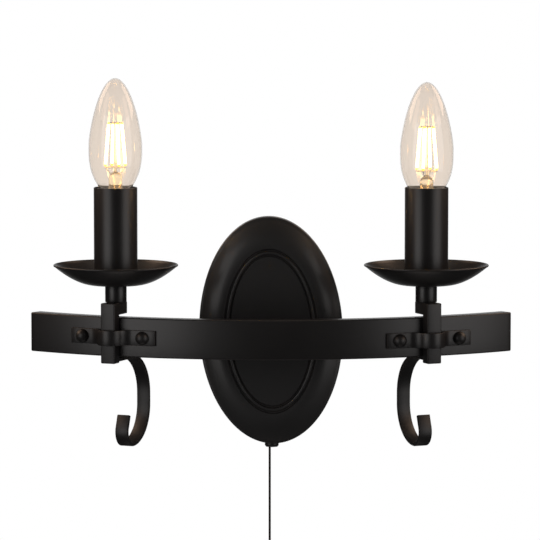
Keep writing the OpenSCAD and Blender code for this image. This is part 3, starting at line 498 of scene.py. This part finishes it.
brown_wire = wire_insulation("brown_insulation", (0.10, 0.035, 0.012), (0.14, 0.050, 0.018))
blue_wire = wire_insulation("blue_insulation", (0.015, 0.08, 0.28), (0.022, 0.11, 0.36))
earth_wire = wire_insulation("earth_insulation", (0.03, 0.22, 0.03), (0.04, 0.28, 0.04),
                             stripe=(0.75, 0.62, 0.03))
wire_radius, switch_wire_radius = 0.8, 0.7


def lay_wire(name, route, radius, finish, node):
    """Lays a wire that bends smoothly through its route's points, in millimetres."""
    wire = start_line(name, radius)
    spline = wire.data.splines.new("BEZIER")
    spline.bezier_points.add(len(route) - 1)
    for spot, point in zip(spline.bezier_points, route):
        spot.co = Vector(point) * mm
        spot.handle_left_type = spot.handle_right_type = "AUTO"
    dress(wire, finish, "root", node)


for side_name, side in sides.items():
    for colour_name, core, insulation in (("brown", 1, brown_wire), ("blue", -1, blue_wire)):
        lay_wire(f"{side_name}_{colour_name}_feed", feed_route(side, core), wire_radius, insulation,
                 f"{side_name}_feed_wires")

earth_x, earth_y = -16.5, -4.6
lay_wire("earth_lead", [(earth_x, earth_y, 0.6), (earth_x, earth_y - 0.2, 3.0), (earth_x + 0.6, -6.2, 9.9),
                        (earth_x + 1, -7.5, 18.2), (earth_x + 1.2, -8.0, 27.1), (earth_x + 2, -8.4, 34.0),
                        (-11.1, block_y, 39.0), (-5.9, block_y, 41.5), (-1.0, block_y, 39.5),
                        (0, block_y, 36.0), (0, block_y, block_top - 1.5)],
         wire_radius, earth_wire, "earth_wire")

tab_x, tab_z, switch_x = 7.5, -38.0, 0.5
for end_name, end in sides.items():
    lay_wire(f"{end_name}_switch_lead",
             [(end * tab_x + switch_x, cord_y, tab_z + 0.3), (end * 7.8, cord_y, -35.2),
              (end * 11, cord_y, -30.2), (end * 13, cord_y, -21.8), (end * 13, -6, -12.2),
              (end * 13, -6.5, 0.1), (end * 12, -7.2, 9.0), (end * 10, -7.2, 14.1),
              (end * 8.4, -7.6, 17.0), (end * 8.4, -7.8, 19.3)],
             switch_wire_radius, brown_wire, "switch_wires")


# The backplate. One oval sheet, pressed: a straight rim, a full round border, a ridge between
# two grooves and a flat panel. It is coated, as all outside pieces are, in satin black.
def satin_group():
    """The paint's tone, gloss and fine grain; along edges a painted warm reflection browns it in patches.
    """
    group, given, result = new_group("satin_coat", {"Roughness": "Float", "Edge Width": "Float"},
                                     {"Colour": "Color", "Gloss": "Float", "Height": "Float"})
    place = on_piece(group)
    grain = add_node(group, "TexNoise", Vector=place, Scale=1500.0, Detail=3.0, Roughness=0.6)
    cloud = add_node(group, "TexNoise", Vector=place, Scale=45.0, Detail=3.0, Roughness=0.5)
    rounded = add_node(group, "Bevel", {"samples": 4}, Radius=given["Edge Width"])
    flat = add_node(group, "NewGeometry")
    alike = add_node(group, "VectorMath", {"operation": "DOT_PRODUCT"})
    feed(group, alike, {0: rounded.outputs["Normal"], 1: flat.outputs["Normal"]})
    edge = ramp(group, alike.outputs["Value"], (0.90, (1, 1, 1)), (0.995, (0, 0, 0)))
    patches = ramp(group, cloud.outputs["Fac"], (0.40, (0, 0, 0)), (0.62, (1, 1, 1)))
    black = ramp(group, cloud.outputs["Fac"],
                 (0.3, (0.0040, 0.0034, 0.0035)), (0.75, (0.0058, 0.0050, 0.0050)))
    # Painted warm reflection: the edge mask, broken into patches by the cloud, mixes a brown into the
    # black.
    painted_edge_reflection = reckon(group, "MULTIPLY", edge, patches)
    drift = add_node(group, "MapRange", Value=grain.outputs["Fac"], To_Min=-0.05, To_Max=0.05)
    feed(group, result, {"Colour": mix(group, "RGBA", painted_edge_reflection, black, (0.030, 0.021, 0.016, 1)),
                         "Gloss": reckon(group, "ADD", given["Roughness"], drift.outputs["Result"]),
                         "Height": grain.outputs["Fac"]})
    return group


satin_coat = satin_group()


def join_ends(piece):
    """Joins the first and the last ring of a closed section."""
    pick(piece, "EDGE", lambda e: e.is_boundary)
    bpy.ops.mesh.bridge_edge_loops()
    face_out()


def apply_modifier(piece, name, kind, **settings):
    """Adds one modifier with these settings and applies it."""
    make_active(piece)
    modifier = piece.modifiers.new(name, kind)
    for key, value in settings.items():
        setattr(modifier, key, value)
    bpy.ops.object.modifier_apply(modifier=name)


def drill(piece, radius, length, place):
    """Cuts a round hole along Z, moved by this matrix; lengths are in millimetres."""
    bit = begin("drill_bit", bpy.ops.mesh.primitive_cylinder_add, vertices=32, radius=radius * mm,
                depth=length * mm)
    make_active(bit)
    bit.matrix_world = place
    apply_modifier(piece, "drilled", "BOOLEAN", operation="DIFFERENCE", solver="EXACT", object=bit)
    bpy.data.objects.remove(bit)


def satin_black(name, roughness, lacquer=0.0):
    """Satin black paint, which a thin glossier lacquer may cover."""
    grain_depth, edge_width = 0.035, 0.6
    finish, tree, shader = new_finish(name, Specular_IOR_Level=0.5, Coat_Weight=lacquer,
                                      Coat_Roughness=0.24)
    coat = add_node(tree, "Group", {"node_tree": satin_coat},
                    Roughness=roughness, Edge_Width=edge_width * mm)
    feed(tree, shader, {"Base Color": coat.outputs["Colour"], "Roughness": coat.outputs["Gloss"]})
    bump(tree, shader, coat.outputs["Height"], 0.3, grain_depth)
    return finish


plate_wide, plate_high, plate_rim, rim_rounding = 47.9, 76.1, 9.9, 1.2
plate_front, panel_depth, plate_sheet = 16.4, 15.0, 1.2
panel_wide, panel_high, centre_hole = 26.4, 49.6, 5.1
groove_gap_wide, groove_gap_high, groove_depth = 6.4, 7.1, 1.6
under_groove_wide, under_groove_high = 5.2, 5.8
border_steps, border_rise, border_curve = 14, 0.94 * (plate_front - plate_rim), 1.9
plate_tilt = math.radians(1.9)
rim_wide, rim_high = plate_wide - rim_rounding, plate_high - rim_rounding


def border_ring(step, sheet):
    """A ring of the round border, this much sheet below its outer face."""
    share = step / border_steps
    return (rim_wide - sheet + (panel_wide + groove_gap_wide + sheet - rim_wide) * share,
            rim_high - sheet + (panel_high + groove_gap_high + sheet - rim_high) * share,
            plate_rim - sheet + border_rise * (1 - (1 - share) ** border_curve))


plate_rings = [(plate_wide, plate_high, 0.0), (plate_wide, plate_high, plate_rim - rim_rounding)]
for step in range(1, 6):
    turn = math.radians(18 * step)
    inwards = rim_rounding * (1 - math.cos(turn))
    plate_rings.append((plate_wide - inwards, plate_high - inwards,
                        plate_rim - rim_rounding + rim_rounding * math.sin(turn)))
plate_rings += [border_ring(step, 0) for step in range(1, border_steps + 1)]
groove_ridge_groove = ((6.1, 6.8, -0.44), (5.8, 6.45, -0.42), (5.5, 6.1, -0.40), (5.2, 5.75, -0.48),
                       (5.0, 5.5, -0.75), (4.6, 5.1, -1.45), (4.4, 4.9, -1.6), (4.1, 4.55, -1.6),
                       (3.9, 4.35, -1.4), (3.5, 3.9, -0.55), (3.3, 3.7, -0.25), (2.95, 3.3, -0.06),
                       (2.6, 2.9, 0.0), (2.25, 2.5, -0.06), (1.9, 2.1, -0.25), (1.7, 1.9, -0.7),
                       (1.35, 1.5, -2.0), (1.2, 1.3, -2.2), (0.9, 1.0, -2.2), (0.7, 0.75, -2.05),
                       (0.35, 0.38, -1.55), (0.1, 0.1, -1.4), (-0.3, -0.3, -1.4))
for grow_wide, grow_high, depth in groove_ridge_groove:
    plate_rings.append((panel_wide + grow_wide, panel_high + grow_high, plate_front + depth))
plate_rings += [(centre_hole, centre_hole, panel_depth),
                (centre_hole, centre_hole, panel_depth - plate_sheet),
                (panel_wide, panel_high, panel_depth - plate_sheet),
                (panel_wide + under_groove_wide, panel_high + under_groove_high,
                 plate_front - groove_depth - plate_sheet)]
plate_rings += [border_ring(step, plate_sheet) for step in range(border_steps - 1, -1, -1)]
plate_rings.append((plate_wide - plate_sheet, plate_high - plate_sheet, 0.0))
backplate = stack_rings("oval_backplate", plate_rings, 160)
join_ends(backplate)
bpy.ops.object.mode_set(mode="OBJECT")
backplate.data.transform(Matrix.Rotation(-plate_tilt, 4, "Y") @ Matrix.Rotation(math.radians(90), 4, "X"))
leave(backplate, 30)
dress(backplate, satin_black("plate_paint", 0.54, lacquer=0.35), "root", "backplate")
side_screw_hole, bush_radius, hole_length = 2.1, 4.1, 8.0
for end in sides.values():
    drill(backplate, side_screw_hole, hole_length,
          moved(end * (plate_wide - 1), cord_y, 0) @ Matrix.Rotation(math.radians(90), 4, "Y"))
drill(backplate, bush_radius, hole_length, moved(switch_x, cord_y, -plate_high))
fittings_paint = satin_black("fittings_paint", 0.38)
finish_nodes(fittings_paint, "backplate_side_screws")


# The standoff. A painted tube slips over the threaded centre tube and holds the bar a hand's
# breadth off the wall. The feed wires leave it through a cross hole behind the bar.
finish_nodes(fittings_paint, "spacer_tube")


# The pull switch. A black moulded housing with its cover stands behind the plate's foot. Its
# threaded neck passes through the rim and is held by a round nut with a softened edge. The
# spring in it shortens as the cord is pulled.
black_plastic = moulded("black_plastic", (0.012, 0.012, 0.013), (0.020, 0.020, 0.021), 0.5)
finish_nodes(black_plastic, "switch_housing", "switch_cover")
finish_nodes(ivory_plastic, "switch_plunger")
finish_nodes(brass, "switch_contacts")
finish_nodes(zinc, "switch_spring")
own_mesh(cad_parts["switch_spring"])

nut_top, nut_low, nut_radius = -76.2, -78.1, 4.65
nut_outline = [(bush_radius, nut_top), (nut_radius, nut_top), (nut_radius, nut_low + 0.7),
               (nut_radius - 0.2, nut_low + 0.2), (bush_radius + 0.1, nut_low), (bush_radius, nut_low)]
neck_nut = turn_on_lathe("bush_nut", nut_outline, 48)
join_ends(neck_nut)
bpy.ops.transform.translate(value=(switch_x * mm, cord_y * mm, 0))
leave(neck_nut)
dress(neck_nut, fittings_paint, "root", "switch_neck_nut")


# The bar. A flat steel channel, 26 by 10 mm, rolled to a gentle bow with its open side to
# the wall. Its ends are closed and its long edges are rounded before it is painted.
bar_height, bar_half_length, bar_steps = 26.0, 160.0, 96
bar_half_angle = math.degrees(math.asin(bar_half_length / bow_radius))
bow_centre = (0, bow_middle_y, 0)
wire_hole, rivet_hole = 2.7, 1.8
rivet_half_spacing = 21.5
right_clip_drop = 1.6


def clip_lift(side):
    """The right clip is riveted a little lower than the left one."""
    return moved(0, 0, -right_clip_drop if side > 0 else 0)


def soften_edges(piece, width, segments):
    """Rounds the edges where faces meet at more than 50 degrees."""
    apply_modifier(piece, "soft_edges", "BEVEL", width=width * mm, segments=segments,
                   limit_method="ANGLE", angle_limit=math.radians(50))


def turned_about(centre, degrees):
    """The matrix of a turn round an upright axis through a centre, given in millimetres."""
    centre = Vector(centre) * mm
    return (Matrix.Translation(centre) @ Matrix.Rotation(math.radians(degrees), 4, "Z")
            @ Matrix.Translation(-centre))


def start_section(name, deep, high, y, centre, degrees):
    """A flat section at this depth, turned round a centre to where its sweep starts."""
    piece = begin(name, bpy.ops.mesh.primitive_plane_add, size=1,
                  rotation=(math.radians(90), 0, math.radians(90)))
    bpy.ops.transform.resize(value=(1, deep * mm, high * mm))
    bpy.ops.transform.translate(value=(0, y * mm, 0))
    shape = bmesh.from_edit_mesh(piece.data)
    bmesh.ops.transform(shape, verts=shape.verts, matrix=turned_about(centre, degrees))
    return piece


def sweep(steps, degrees, centre, axis=(0, 0, 1)):
    """Spins what is selected round a centre, given in millimetres."""
    bpy.ops.mesh.spin(steps=steps, angle=math.radians(-degrees), center=Vector(centre) * mm, axis=axis)


bar = start_section("bowed_bar", bar_depth, bar_height, -bow_reach + bar_depth / 2, bow_centre,
                    -bar_half_angle)
sweep(bar_steps, 2 * bar_half_angle, bow_centre)
cap_ends(bar)


def faces_the_wall(face):
    """Whether this face of the bar looks at the middle of its bow."""
    inward = Vector(bow_centre) * mm - face.calc_center_median()
    inward.z = 0
    return face.normal.dot(inward.normalized()) > 0.9


pick(bar, "FACE", faces_the_wall)
bpy.ops.mesh.inset(thickness=bar_wall * mm, use_boundary=True)
bpy.ops.mesh.extrude_region_shrink_fatten(
    TRANSFORM_OT_shrink_fatten={"value": -(bar_depth - bar_wall) * mm})
soften_edges(bar, 0.9, 4)


def rivet_place(end):
    """Stands a piece drawn along Z on the bar's front, beside the candle axis."""
    turn = turned_about((0, candle_radius, 0), math.degrees(end * rivet_half_spacing / bow_radius))
    return turn @ moved(0, candle_radius - bow_radius, 0) @ Matrix.Rotation(math.radians(90), 4, "X")


for side in sides.values():
    drill(bar, wire_hole, 3 * bar_wall, candle_place(side) @ moved(0, 0, bar_height / 2))
    for end in sides.values():
        drill(bar, rivet_hole, 3 * bar_wall, candle_place(side) @ clip_lift(side) @ rivet_place(end))
leave(bar)
dress(bar, satin_black("bar_paint", 0.36), "root", "bar")


# The clamps. A square bar, forged to an angle, stands before the bar's front. Its arm lies
# back over the bar and is bored for the candle's threaded tube. All its edges are softened.
leg_width, leg_depth, leg_low = 10.0, 8.0, -17.0
arm_top, arm_low, arm_length = 22.7, 14.7, 20.0
leg_front = -bar_depth / 2 - leg_depth
bore = 3.6


def copy_piece(piece):
    """Copies a piece with a mesh or curve of its own."""
    make_active(piece)
    bpy.ops.object.duplicate()
    return bpy.context.object


def set_pair(master, finish, body, node, left_lift=0.0, right_lift=0.0):
    """Sets copies of a piece drawn round the candle axis at both ends; {} in a body is the side."""
    for side_name, side in sides.items():
        copy = copy_piece(master)
        copy.name = f"{side_name}_{master.name}"
        lift = left_lift if side < 0 else right_lift
        copy.matrix_world = candle_place(side) @ moved(0, 0, lift)
        settle()
        dress(copy, finish, body.format(side_name), f"{side_name}_{node}")
    bpy.data.objects.remove(master)


clamp = begin("clamp_bar", bpy.ops.mesh.primitive_cube_add, size=1)
bpy.ops.transform.resize(value=(leg_width * mm, leg_depth * mm, (arm_top - leg_low) * mm))
bpy.ops.transform.translate(value=(0, (leg_front + leg_depth / 2) * mm, (arm_top + leg_low) / 2 * mm))
bpy.ops.mesh.bisect(plane_co=(0, 0, arm_low * mm), plane_no=(0, 0, 1))
pick(clamp, "FACE", lambda f: f.normal.y > 0.9 and f.calc_center_median().z > arm_low * mm)
pull_out(0, arm_length - leg_depth, 0)
face_out()
soften_edges(clamp, 0.7, 3)
drill(clamp, bore, 1.5 * (arm_top - arm_low), moved(0, 0, (arm_top + arm_low) / 2))
leave(clamp)
set_pair(clamp, satin_black("clamp_paint", 0.42), "root", "clamp")


# The scroll hooks. A flat strap is welded to the back of each clamp's foot. It runs to the
# wall, bends down in a wide bow and comes forward into a small upturned curl. They are bent
# by hand: the right one has a shorter run and sits a little higher and farther out.
hook_width, hook_sheet = 8.9, 2.5
upper_bend, hook_drop = 27.0, 7.0
lower_bend, curl_bend, curl_turn, tip_length = 24.8, 8.95, 109.5, 8.5
hook_paint = satin_black("hook_paint", 0.46)
for side_name, run, height, aside in (("left", 20.1, -14.95, 0.0), ("right", 15.3, -14.35, 1.4)):
    hook = begin(f"{side_name}_hook_strap", bpy.ops.mesh.primitive_plane_add, size=1,
                 rotation=(math.radians(90), 0, 0))
    bpy.ops.transform.resize(value=(hook_width * mm, 1, hook_sheet * mm))
    bpy.ops.transform.translate(value=(aside * mm, -bar_depth / 2 * mm, height * mm))
    pull_out(0, run, 0)
    bend_y = run - bar_depth / 2
    sweep(20, -90, (0, bend_y, height - upper_bend), (1, 0, 0))
    pull_out(0, 0, -hook_drop)
    low_y = bend_y + upper_bend - lower_bend
    low_z = height - upper_bend - hook_drop
    sweep(20, -90, (0, low_y, low_z), (1, 0, 0))
    sweep(22, -curl_turn, (0, low_y, low_z - lower_bend + curl_bend), (1, 0, 0))
    tip_turn = math.radians(curl_turn - 90)
    pull_out(0, tip_length * math.sin(tip_turn), tip_length * math.cos(tip_turn))
    cap_ends(hook)
    soften_edges(hook, 0.35, 2)
    hook.matrix_world = candle_place(sides[side_name])
    leave(hook)
    settle()
    dress(hook, hook_paint, "root", f"{side_name}_hook")


# The strap clips. A strap as high as the clamp is wide is bent over the clamp's leg in one
# flowing line and lies on the bar at both sides of it, where it is riveted.
clip_sheet, clip_height, clip_half, clip_gap = 1.5, 10.0, 30.5, 0.05
arch_depth, arch_gap, rivet_head_radius, head_clear = 5.0, 0.18, 4.5, 2.0
arch_y = leg_front + arch_depth
arch_radius = math.hypot(leg_width / 2, arch_depth) + arch_gap + clip_sheet / 2
foot_radius = bow_radius + clip_gap + clip_sheet / 2
foot_start = (rivet_half_spacing - rivet_head_radius - head_clear) / foot_radius
span = candle_radius - arch_y
to_flare = (span ** 2 - (foot_radius - arch_radius) ** 2) / (
    2 * (span * math.cos(foot_start) + arch_radius - foot_radius))
flare_x, flare_y = to_flare * math.sin(foot_start), candle_radius - to_flare * math.cos(foot_start)
half_arch = math.degrees(math.atan2(flare_x, arch_y - flare_y))
foot_turn = math.degrees(clip_half / bow_radius - foot_start)
flare_turn = half_arch - math.degrees(foot_start)
clip = start_section("clip_strap", clip_sheet, clip_height, candle_radius - foot_radius,
                     (0, candle_radius, 0), -math.degrees(clip_half / bow_radius))
sweep(4, foot_turn, (0, candle_radius, 0))
sweep(14, -flare_turn, (-flare_x, flare_y, 0))
sweep(36, 2 * half_arch, (0, arch_y, 0))
sweep(14, -flare_turn, (flare_x, flare_y, 0))
sweep(4, foot_turn, (0, candle_radius, 0))
cap_ends(clip)
soften_edges(clip, 0.35, 2)
for end in sides.values():
    drill(clip, rivet_hole, hole_length, rivet_place(end))
leave(clip)
set_pair(clip, satin_black("clip_paint", 0.40), "root", "clip",
         right_lift=-right_clip_drop)


# The rivets. Each has a half-round head on the clip, a shank through clip and bar, and a
# tail hammered flat inside the channel.
def join_placed(pieces):
    """Writes each piece's place into its mesh and joins them all to the first."""
    make_active(pieces[0])
    for piece in pieces:
        piece.select_set(True)
    settle()
    bpy.ops.object.join()


head_base, shank_radius, tail_radius, tail_top = 1.55, 1.7, 2.6, -2.3
rivet_outline = [(tail_radius - 0.3, tail_top - 0.9), (tail_radius, tail_top - 0.65),
                 (tail_radius, tail_top), (shank_radius, tail_top), (shank_radius, head_base),
                 (rivet_head_radius - 0.25, head_base), (rivet_head_radius, head_base + 0.2)]
for step in range(1, 16):
    turn = math.radians(6 * step - 1)
    rivet_outline.append((rivet_head_radius * math.cos(turn),
                          head_base + rivet_head_radius * math.sin(turn)))
rivet = turn_on_lathe("rivet_pair", rivet_outline, 40)
cap_ends(rivet)
leave(rivet, 40)
second_rivet = copy_piece(rivet)
rivet.matrix_world = rivet_place(-1)
second_rivet.matrix_world = rivet_place(1)
join_placed([rivet, second_rivet])
set_pair(rivet, satin_black("rivet_paint", 0.46), "root", "clip_rivets",
         right_lift=-right_clip_drop)


# The collars. A turned collar with broken edges slips over each candle's threaded tube and
# holds the pan off the clamp's arm. The zinc-plated tube itself runs up into the lampholder.
collar_radius, collar_top = 7.1, 34.0
collar_outline = [(bore, arm_top), (collar_radius - 0.4, arm_top), (collar_radius - 0.1, arm_top + 0.1),
                  (collar_radius, arm_top + 0.4), (collar_radius, collar_top - 0.4),
                  (collar_radius - 0.1, collar_top - 0.1), (collar_radius - 0.4, collar_top),
                  (bore, collar_top)]
collar = turn_on_lathe("turned_collar", collar_outline, 64)
join_ends(collar)
leave(collar)
set_pair(collar, satin_black("collar_paint", 0.34), "root", "stem_collar")
finish_nodes(zinc, "left_stem_nipple", "right_stem_nipple", "left_stem_nut", "right_stem_nut")


# The drip pans. A spun dish with a small flat floor, a rising flank and a rolled edge. It is
# painted inside and out, and held down by the nut inside the candle tube.
pan_radius, pan_depth, pan_sheet, pan_flat, hem_radius = 41.0, 12.8, 1.2, 15.125, 0.65
flank_curve = 1.75


def pan_under(radius):
    """The height of the pan's underside at a radius: flat at first, then rising ever faster."""
    share = max(radius - pan_flat, 0) / (pan_radius - pan_flat)
    return collar_top + pan_depth * share ** flank_curve


hem_at = pan_radius - hem_radius
hem_z = pan_under(hem_at) + pan_sheet / 2
flank = [pan_flat + (hem_at - 0.9 - pan_flat) * step / 20 for step in range(21)]
pan_outline = [(bore, collar_top)] + [(radius, pan_under(radius)) for radius in flank]
for step in range(11):
    turn = math.radians(-110 + 25 * step)
    pan_outline.append((hem_at + hem_radius * math.cos(turn), hem_z + hem_radius * math.sin(turn)))
pan_outline += [(radius, pan_under(radius) + pan_sheet) for radius in reversed(flank)]
pan_outline.append((bore, collar_top + pan_sheet))
pan = turn_on_lathe("spun_pan", pan_outline, 128)
join_ends(pan)
leave(pan)
set_pair(pan, satin_black("pan_paint", 0.36), "root", "drip_pan")


# The candle tubes. A thin steel sleeve, painted black like the rest, slips over each
# lampholder and stands on the pan. Its top edge is rolled smooth.
tube_radius, tube_sheet, tube_low, tube_top = 14.325, 1.0, 35.2, 98.2
tube_inside = tube_radius - tube_sheet
tube_outline = [(tube_radius, tube_low), (tube_radius, tube_top - 0.45),
                (tube_radius - 0.13, tube_top - 0.13), (tube_radius - 0.4, tube_top),
                (tube_inside + 0.35, tube_top), (tube_inside + 0.1, tube_top - 0.12),
                (tube_inside, tube_top - 0.4), (tube_inside, tube_low)]
tube = turn_on_lathe("candle_sleeve", tube_outline, 96)
join_ends(tube)
leave(tube)
set_pair(tube, satin_black("tube_paint", 0.36), "root", "candle_tube")


# The lampholders. Each is a moulded socket with a brass shell for the bulb's thread and a
# sprung contact in its floor. They stay inside the candle tubes.
finish_nodes(ivory_plastic, "left_lampholder", "right_lampholder")
finish_nodes(brass, "left_holder_contacts", "right_holder_contacts")


# The bulbs' glass. A blown candle bulb, 35 mm across, thin and clear with a faint warm tint.
# It comes to a soft point and narrows to the cap.
bulb_tip, bulb_rise = 167.1, 2.6
glass_radius, glass_length, glass_sheet, neck_radius = 17.6, 76.0, 0.7, 7.4
crown_length, crown_curve, taper_start, taper_curve = 43.0, 1.35, 47.0, 2.5


def glass_at(depth):
    """The glass's radius at a depth below its tip."""
    if depth < crown_length:
        return glass_radius * math.sqrt(1 - (1 - depth / crown_length) ** crown_curve)
    if depth < taper_start:
        return glass_radius
    share = (depth - taper_start) / (glass_length - taper_start)
    return glass_radius - (glass_radius - neck_radius) * share ** taper_curve


def clear_glass(name, tint, glow, roughness=0.0):
    """Clear glass; round the filaments a little of their light is painted on it as a glow."""
    finish, tree, shader = new_finish(name, IOR=1.5, Transmission_Weight=1.0, Roughness=roughness,
                                      Base_Color=(*tint, 1), Emission_Strength=1.0)
    axes = add_node(tree, "SeparateXYZ", Vector=on_piece(tree))
    height = add_node(tree, "MapRange", Value=axes.outputs["Z"], From_Min=0.085, From_Max=0.165)
    faint = tuple(0.4 * part for part in glow)
    # Painted glow: emission in the glass, strongest around the filaments and fading towards the tip.
    painted_glow = ramp(tree, height.outputs["Result"], (0.0, faint), (0.2, glow), (0.65, glow), (0.95, (0, 0, 0)))
    feed(tree, shader, {"Emission Color": painted_glow})
    waves = add_node(tree, "TexNoise", Vector=on_piece(tree), Scale=60.0, Detail=1.0)
    bump(tree, shader, waves.outputs["Fac"], 0.05, 0.5)
    return finish


depths = [glass_length - (glass_length - taper_start) * step / 16 for step in range(17)]
depths += [45.0] + [crown_length * (1 - step / 22) ** 1.7 for step in range(22)] + [0.02]
glass = turn_on_lathe("candle_glass", [(glass_at(depth), bulb_tip - depth) for depth in depths], 80)
pick(glass, "EDGE", lambda e: e.is_boundary and e.verts[0].co.z > (bulb_tip - 1) * mm)
bpy.ops.mesh.fill_holes(sides=0)
face_out()
apply_modifier(glass, "wall", "SOLIDIFY", thickness=glass_sheet * mm, offset=-1)
leave(glass, 60)
bulb_glass = clear_glass("bulb_glass", (0.87, 0.808, 0.75), (0.013, 0.012, 0.010))
set_pair(glass, bulb_glass, "{}_bulb", "bulb_glass", bulb_rise)


# The bulbs' caps. A pressed nickel-plated shell with a rolled thread and a flared rim that is
# cemented to the glass, a black insulator and a soldered end contact.
nickel = plated("nickel_plate", (0.52, 0.50, 0.46), (0.70, 0.67, 0.62), 0.18, 0.32)
cap_top, cap_rim, cap_inside = bulb_tip - glass_length, 7.4, 6.1
thread_radius, thread_depth, thread_pitch, thread_steps = 6.72, 0.23, 2.82, 44
cap_outline = [(6.55, cap_top), (cap_rim - 0.1, cap_top), (cap_rim, cap_top - 0.2),
               (cap_rim, cap_top - 1.8), (cap_rim - 0.3, cap_top - 2.0), (6.6, cap_top - 2.2)]
for step in range(1, thread_steps + 1):
    depth = 2.4 + 14.6 * step / thread_steps
    wave = thread_depth * math.cos(2 * math.pi * (depth - 3.2) / thread_pitch)
    cap_outline.append((thread_radius + wave, cap_top - depth))
cap_outline += [(6.45, cap_top - 17.6), (6.3, cap_top - 18.0), (cap_inside, cap_top - 17.9),
                (cap_inside, cap_top - 2.6), (6.55, cap_top - 1.9)]
cap = turn_on_lathe("screw_cap", cap_outline, 64)
join_ends(cap)
leave(cap, 60)
set_pair(cap, nickel, "{}_bulb", "bulb_cap", bulb_rise)
finish_nodes(black_plastic, "left_bulb_insulator", "right_bulb_insulator")
finish_nodes(nickel, "left_bulb_tip", "right_bulb_tip")


# The bulbs' insides. A glass stem rises from the cap and ends in a thin post. Two wire rings
# on it carry four straight glowing filaments, which lean outwards at the foot.
filament_top, filament_length, filament_radius = 28.8, 29.0, 0.9
filament_inner, filament_outer = 4.4, 7.0
filament_lean = math.asin((filament_outer - filament_inner) / filament_length)
stem_neck = 62.3


def filament_glow():
    """Phosphor-coated rods: white hot in the middle, yellow at both ends."""
    finish, tree, shader = new_finish("filament_glow", Roughness=0.5, Emission_Strength=14.0,
                                      Base_Color=(0.9, 0.6, 0.15, 1))
    place = add_node(tree, "UVMap", {"uv_map": "along_rod"})
    axes = add_node(tree, "SeparateXYZ", Vector=place.outputs["UV"])
    colour = ramp(tree, axes.outputs["Y"], (0.0, (0.12, 0.06, 0.004)), (0.035, (0.30, 0.15, 0.01)),
                  (0.08, (1.0, 0.62, 0.22)), (0.92, (1.0, 0.62, 0.22)), (0.965, (0.30, 0.15, 0.01)),
                  (1.0, (0.12, 0.06, 0.004)))
    feed(tree, shader, {"Emission Color": colour})
    grain = add_node(tree, "TexNoise", Scale=900.0)
    bump(tree, shader, grain.outputs["Fac"], 0.3, 0.05)
    return finish


rod_outline = []
for step in range(1, 7):
    turn = math.radians(15 * step)
    rod_outline.append((filament_radius * math.sin(turn),
                        -filament_radius * math.cos(turn) + filament_radius))
rod_outline += [(radius, filament_length - height) for radius, height in reversed(rod_outline)]
rod = turn_on_lathe("glowing_rods", rod_outline, 16)
cap_ends(rod)
make_active(rod)
along_rod = rod.data.uv_layers.new(name="along_rod")
for loop in rod.data.loops:
    height = rod.data.vertices[loop.vertex_index].co.z
    along_rod.data[loop.index].uv = (0.5, height / (filament_length * mm))
leave(rod, 60)
rods = [rod] + [copy_piece(rod) for count in range(3)]
for count, piece in enumerate(rods):
    piece.matrix_world = (moved(0, 0, bulb_tip - filament_top)
                          @ Matrix.Rotation(math.radians(45 + 90 * count), 4, "Z")
                          @ moved(filament_inner, 0, 0)
                          @ Matrix.Rotation(math.pi - filament_lean, 4, "Y"))
join_placed(rods)
set_pair(rod, filament_glow(), "{}_bulb", "bulb_filaments", bulb_rise)

stem_outline = [(6.55, glass_length), (6.55, glass_length - 0.7), (5.6, glass_length - 1.4),
                (4.9, glass_length - 2.6), (4.6, glass_length - 3.6), (4.45, 69.0),
                (4.4, stem_neck + 2.4), (4.1, stem_neck + 1.2), (3.4, stem_neck + 0.2),
                (2.2, stem_neck - 0.5), (1.3, stem_neck - 1.0), (0.9, stem_neck - 1.6),
                (0.85, 50.0), (0.8, filament_top + 0.3), (0.6, filament_top - 0.05)]
stem = turn_on_lathe("glass_stem", [(radius, bulb_tip - depth) for radius, depth in stem_outline], 48)
cap_ends(stem)
leave(stem, 60)
# The stem glass carries a stronger painted glow of the filaments.
stem_glass = clear_glass("stem_glass", (0.96, 0.86, 0.66), (0.12, 0.085, 0.05), 0.08)
set_pair(stem, stem_glass, "{}_bulb", "bulb_stem", bulb_rise)


def compass(degrees):
    """The level direction at this many degrees."""
    return Vector((math.cos(math.radians(degrees)), math.sin(math.radians(degrees)), 0))


def ring_of_wire(radius, height):
    """The points of a level ring, ten degrees apart."""
    return [compass(10 * step) * radius + height for step in range(36)]


upper_ring = Vector((0, 0, bulb_tip - filament_top - 0.5))
lower_ring = Vector((0, 0, bulb_tip - filament_top - filament_length * math.cos(filament_lean) - 0.6))
lead_foot = Vector((0, 0, bulb_tip - stem_neck))
lead_foot_out, wire_thin = 3.6, 0.32
wires = start_line("support_wires", wire_thin)
run_straight(wires, ring_of_wire(filament_inner, upper_ring), closed=True)
run_straight(wires, ring_of_wire(filament_outer, lower_ring), closed=True)
for degrees in (45, 135):
    reach = compass(degrees) * filament_inner
    run_straight(wires, [upper_ring - reach, upper_ring + reach])
for degrees in (45, 225):
    run_straight(wires, [compass(degrees) * filament_outer + lower_ring,
                         compass(degrees) * lead_foot_out + lead_foot])
set_pair(wires, nickel, "{}_bulb", "bulb_wires", bulb_rise)
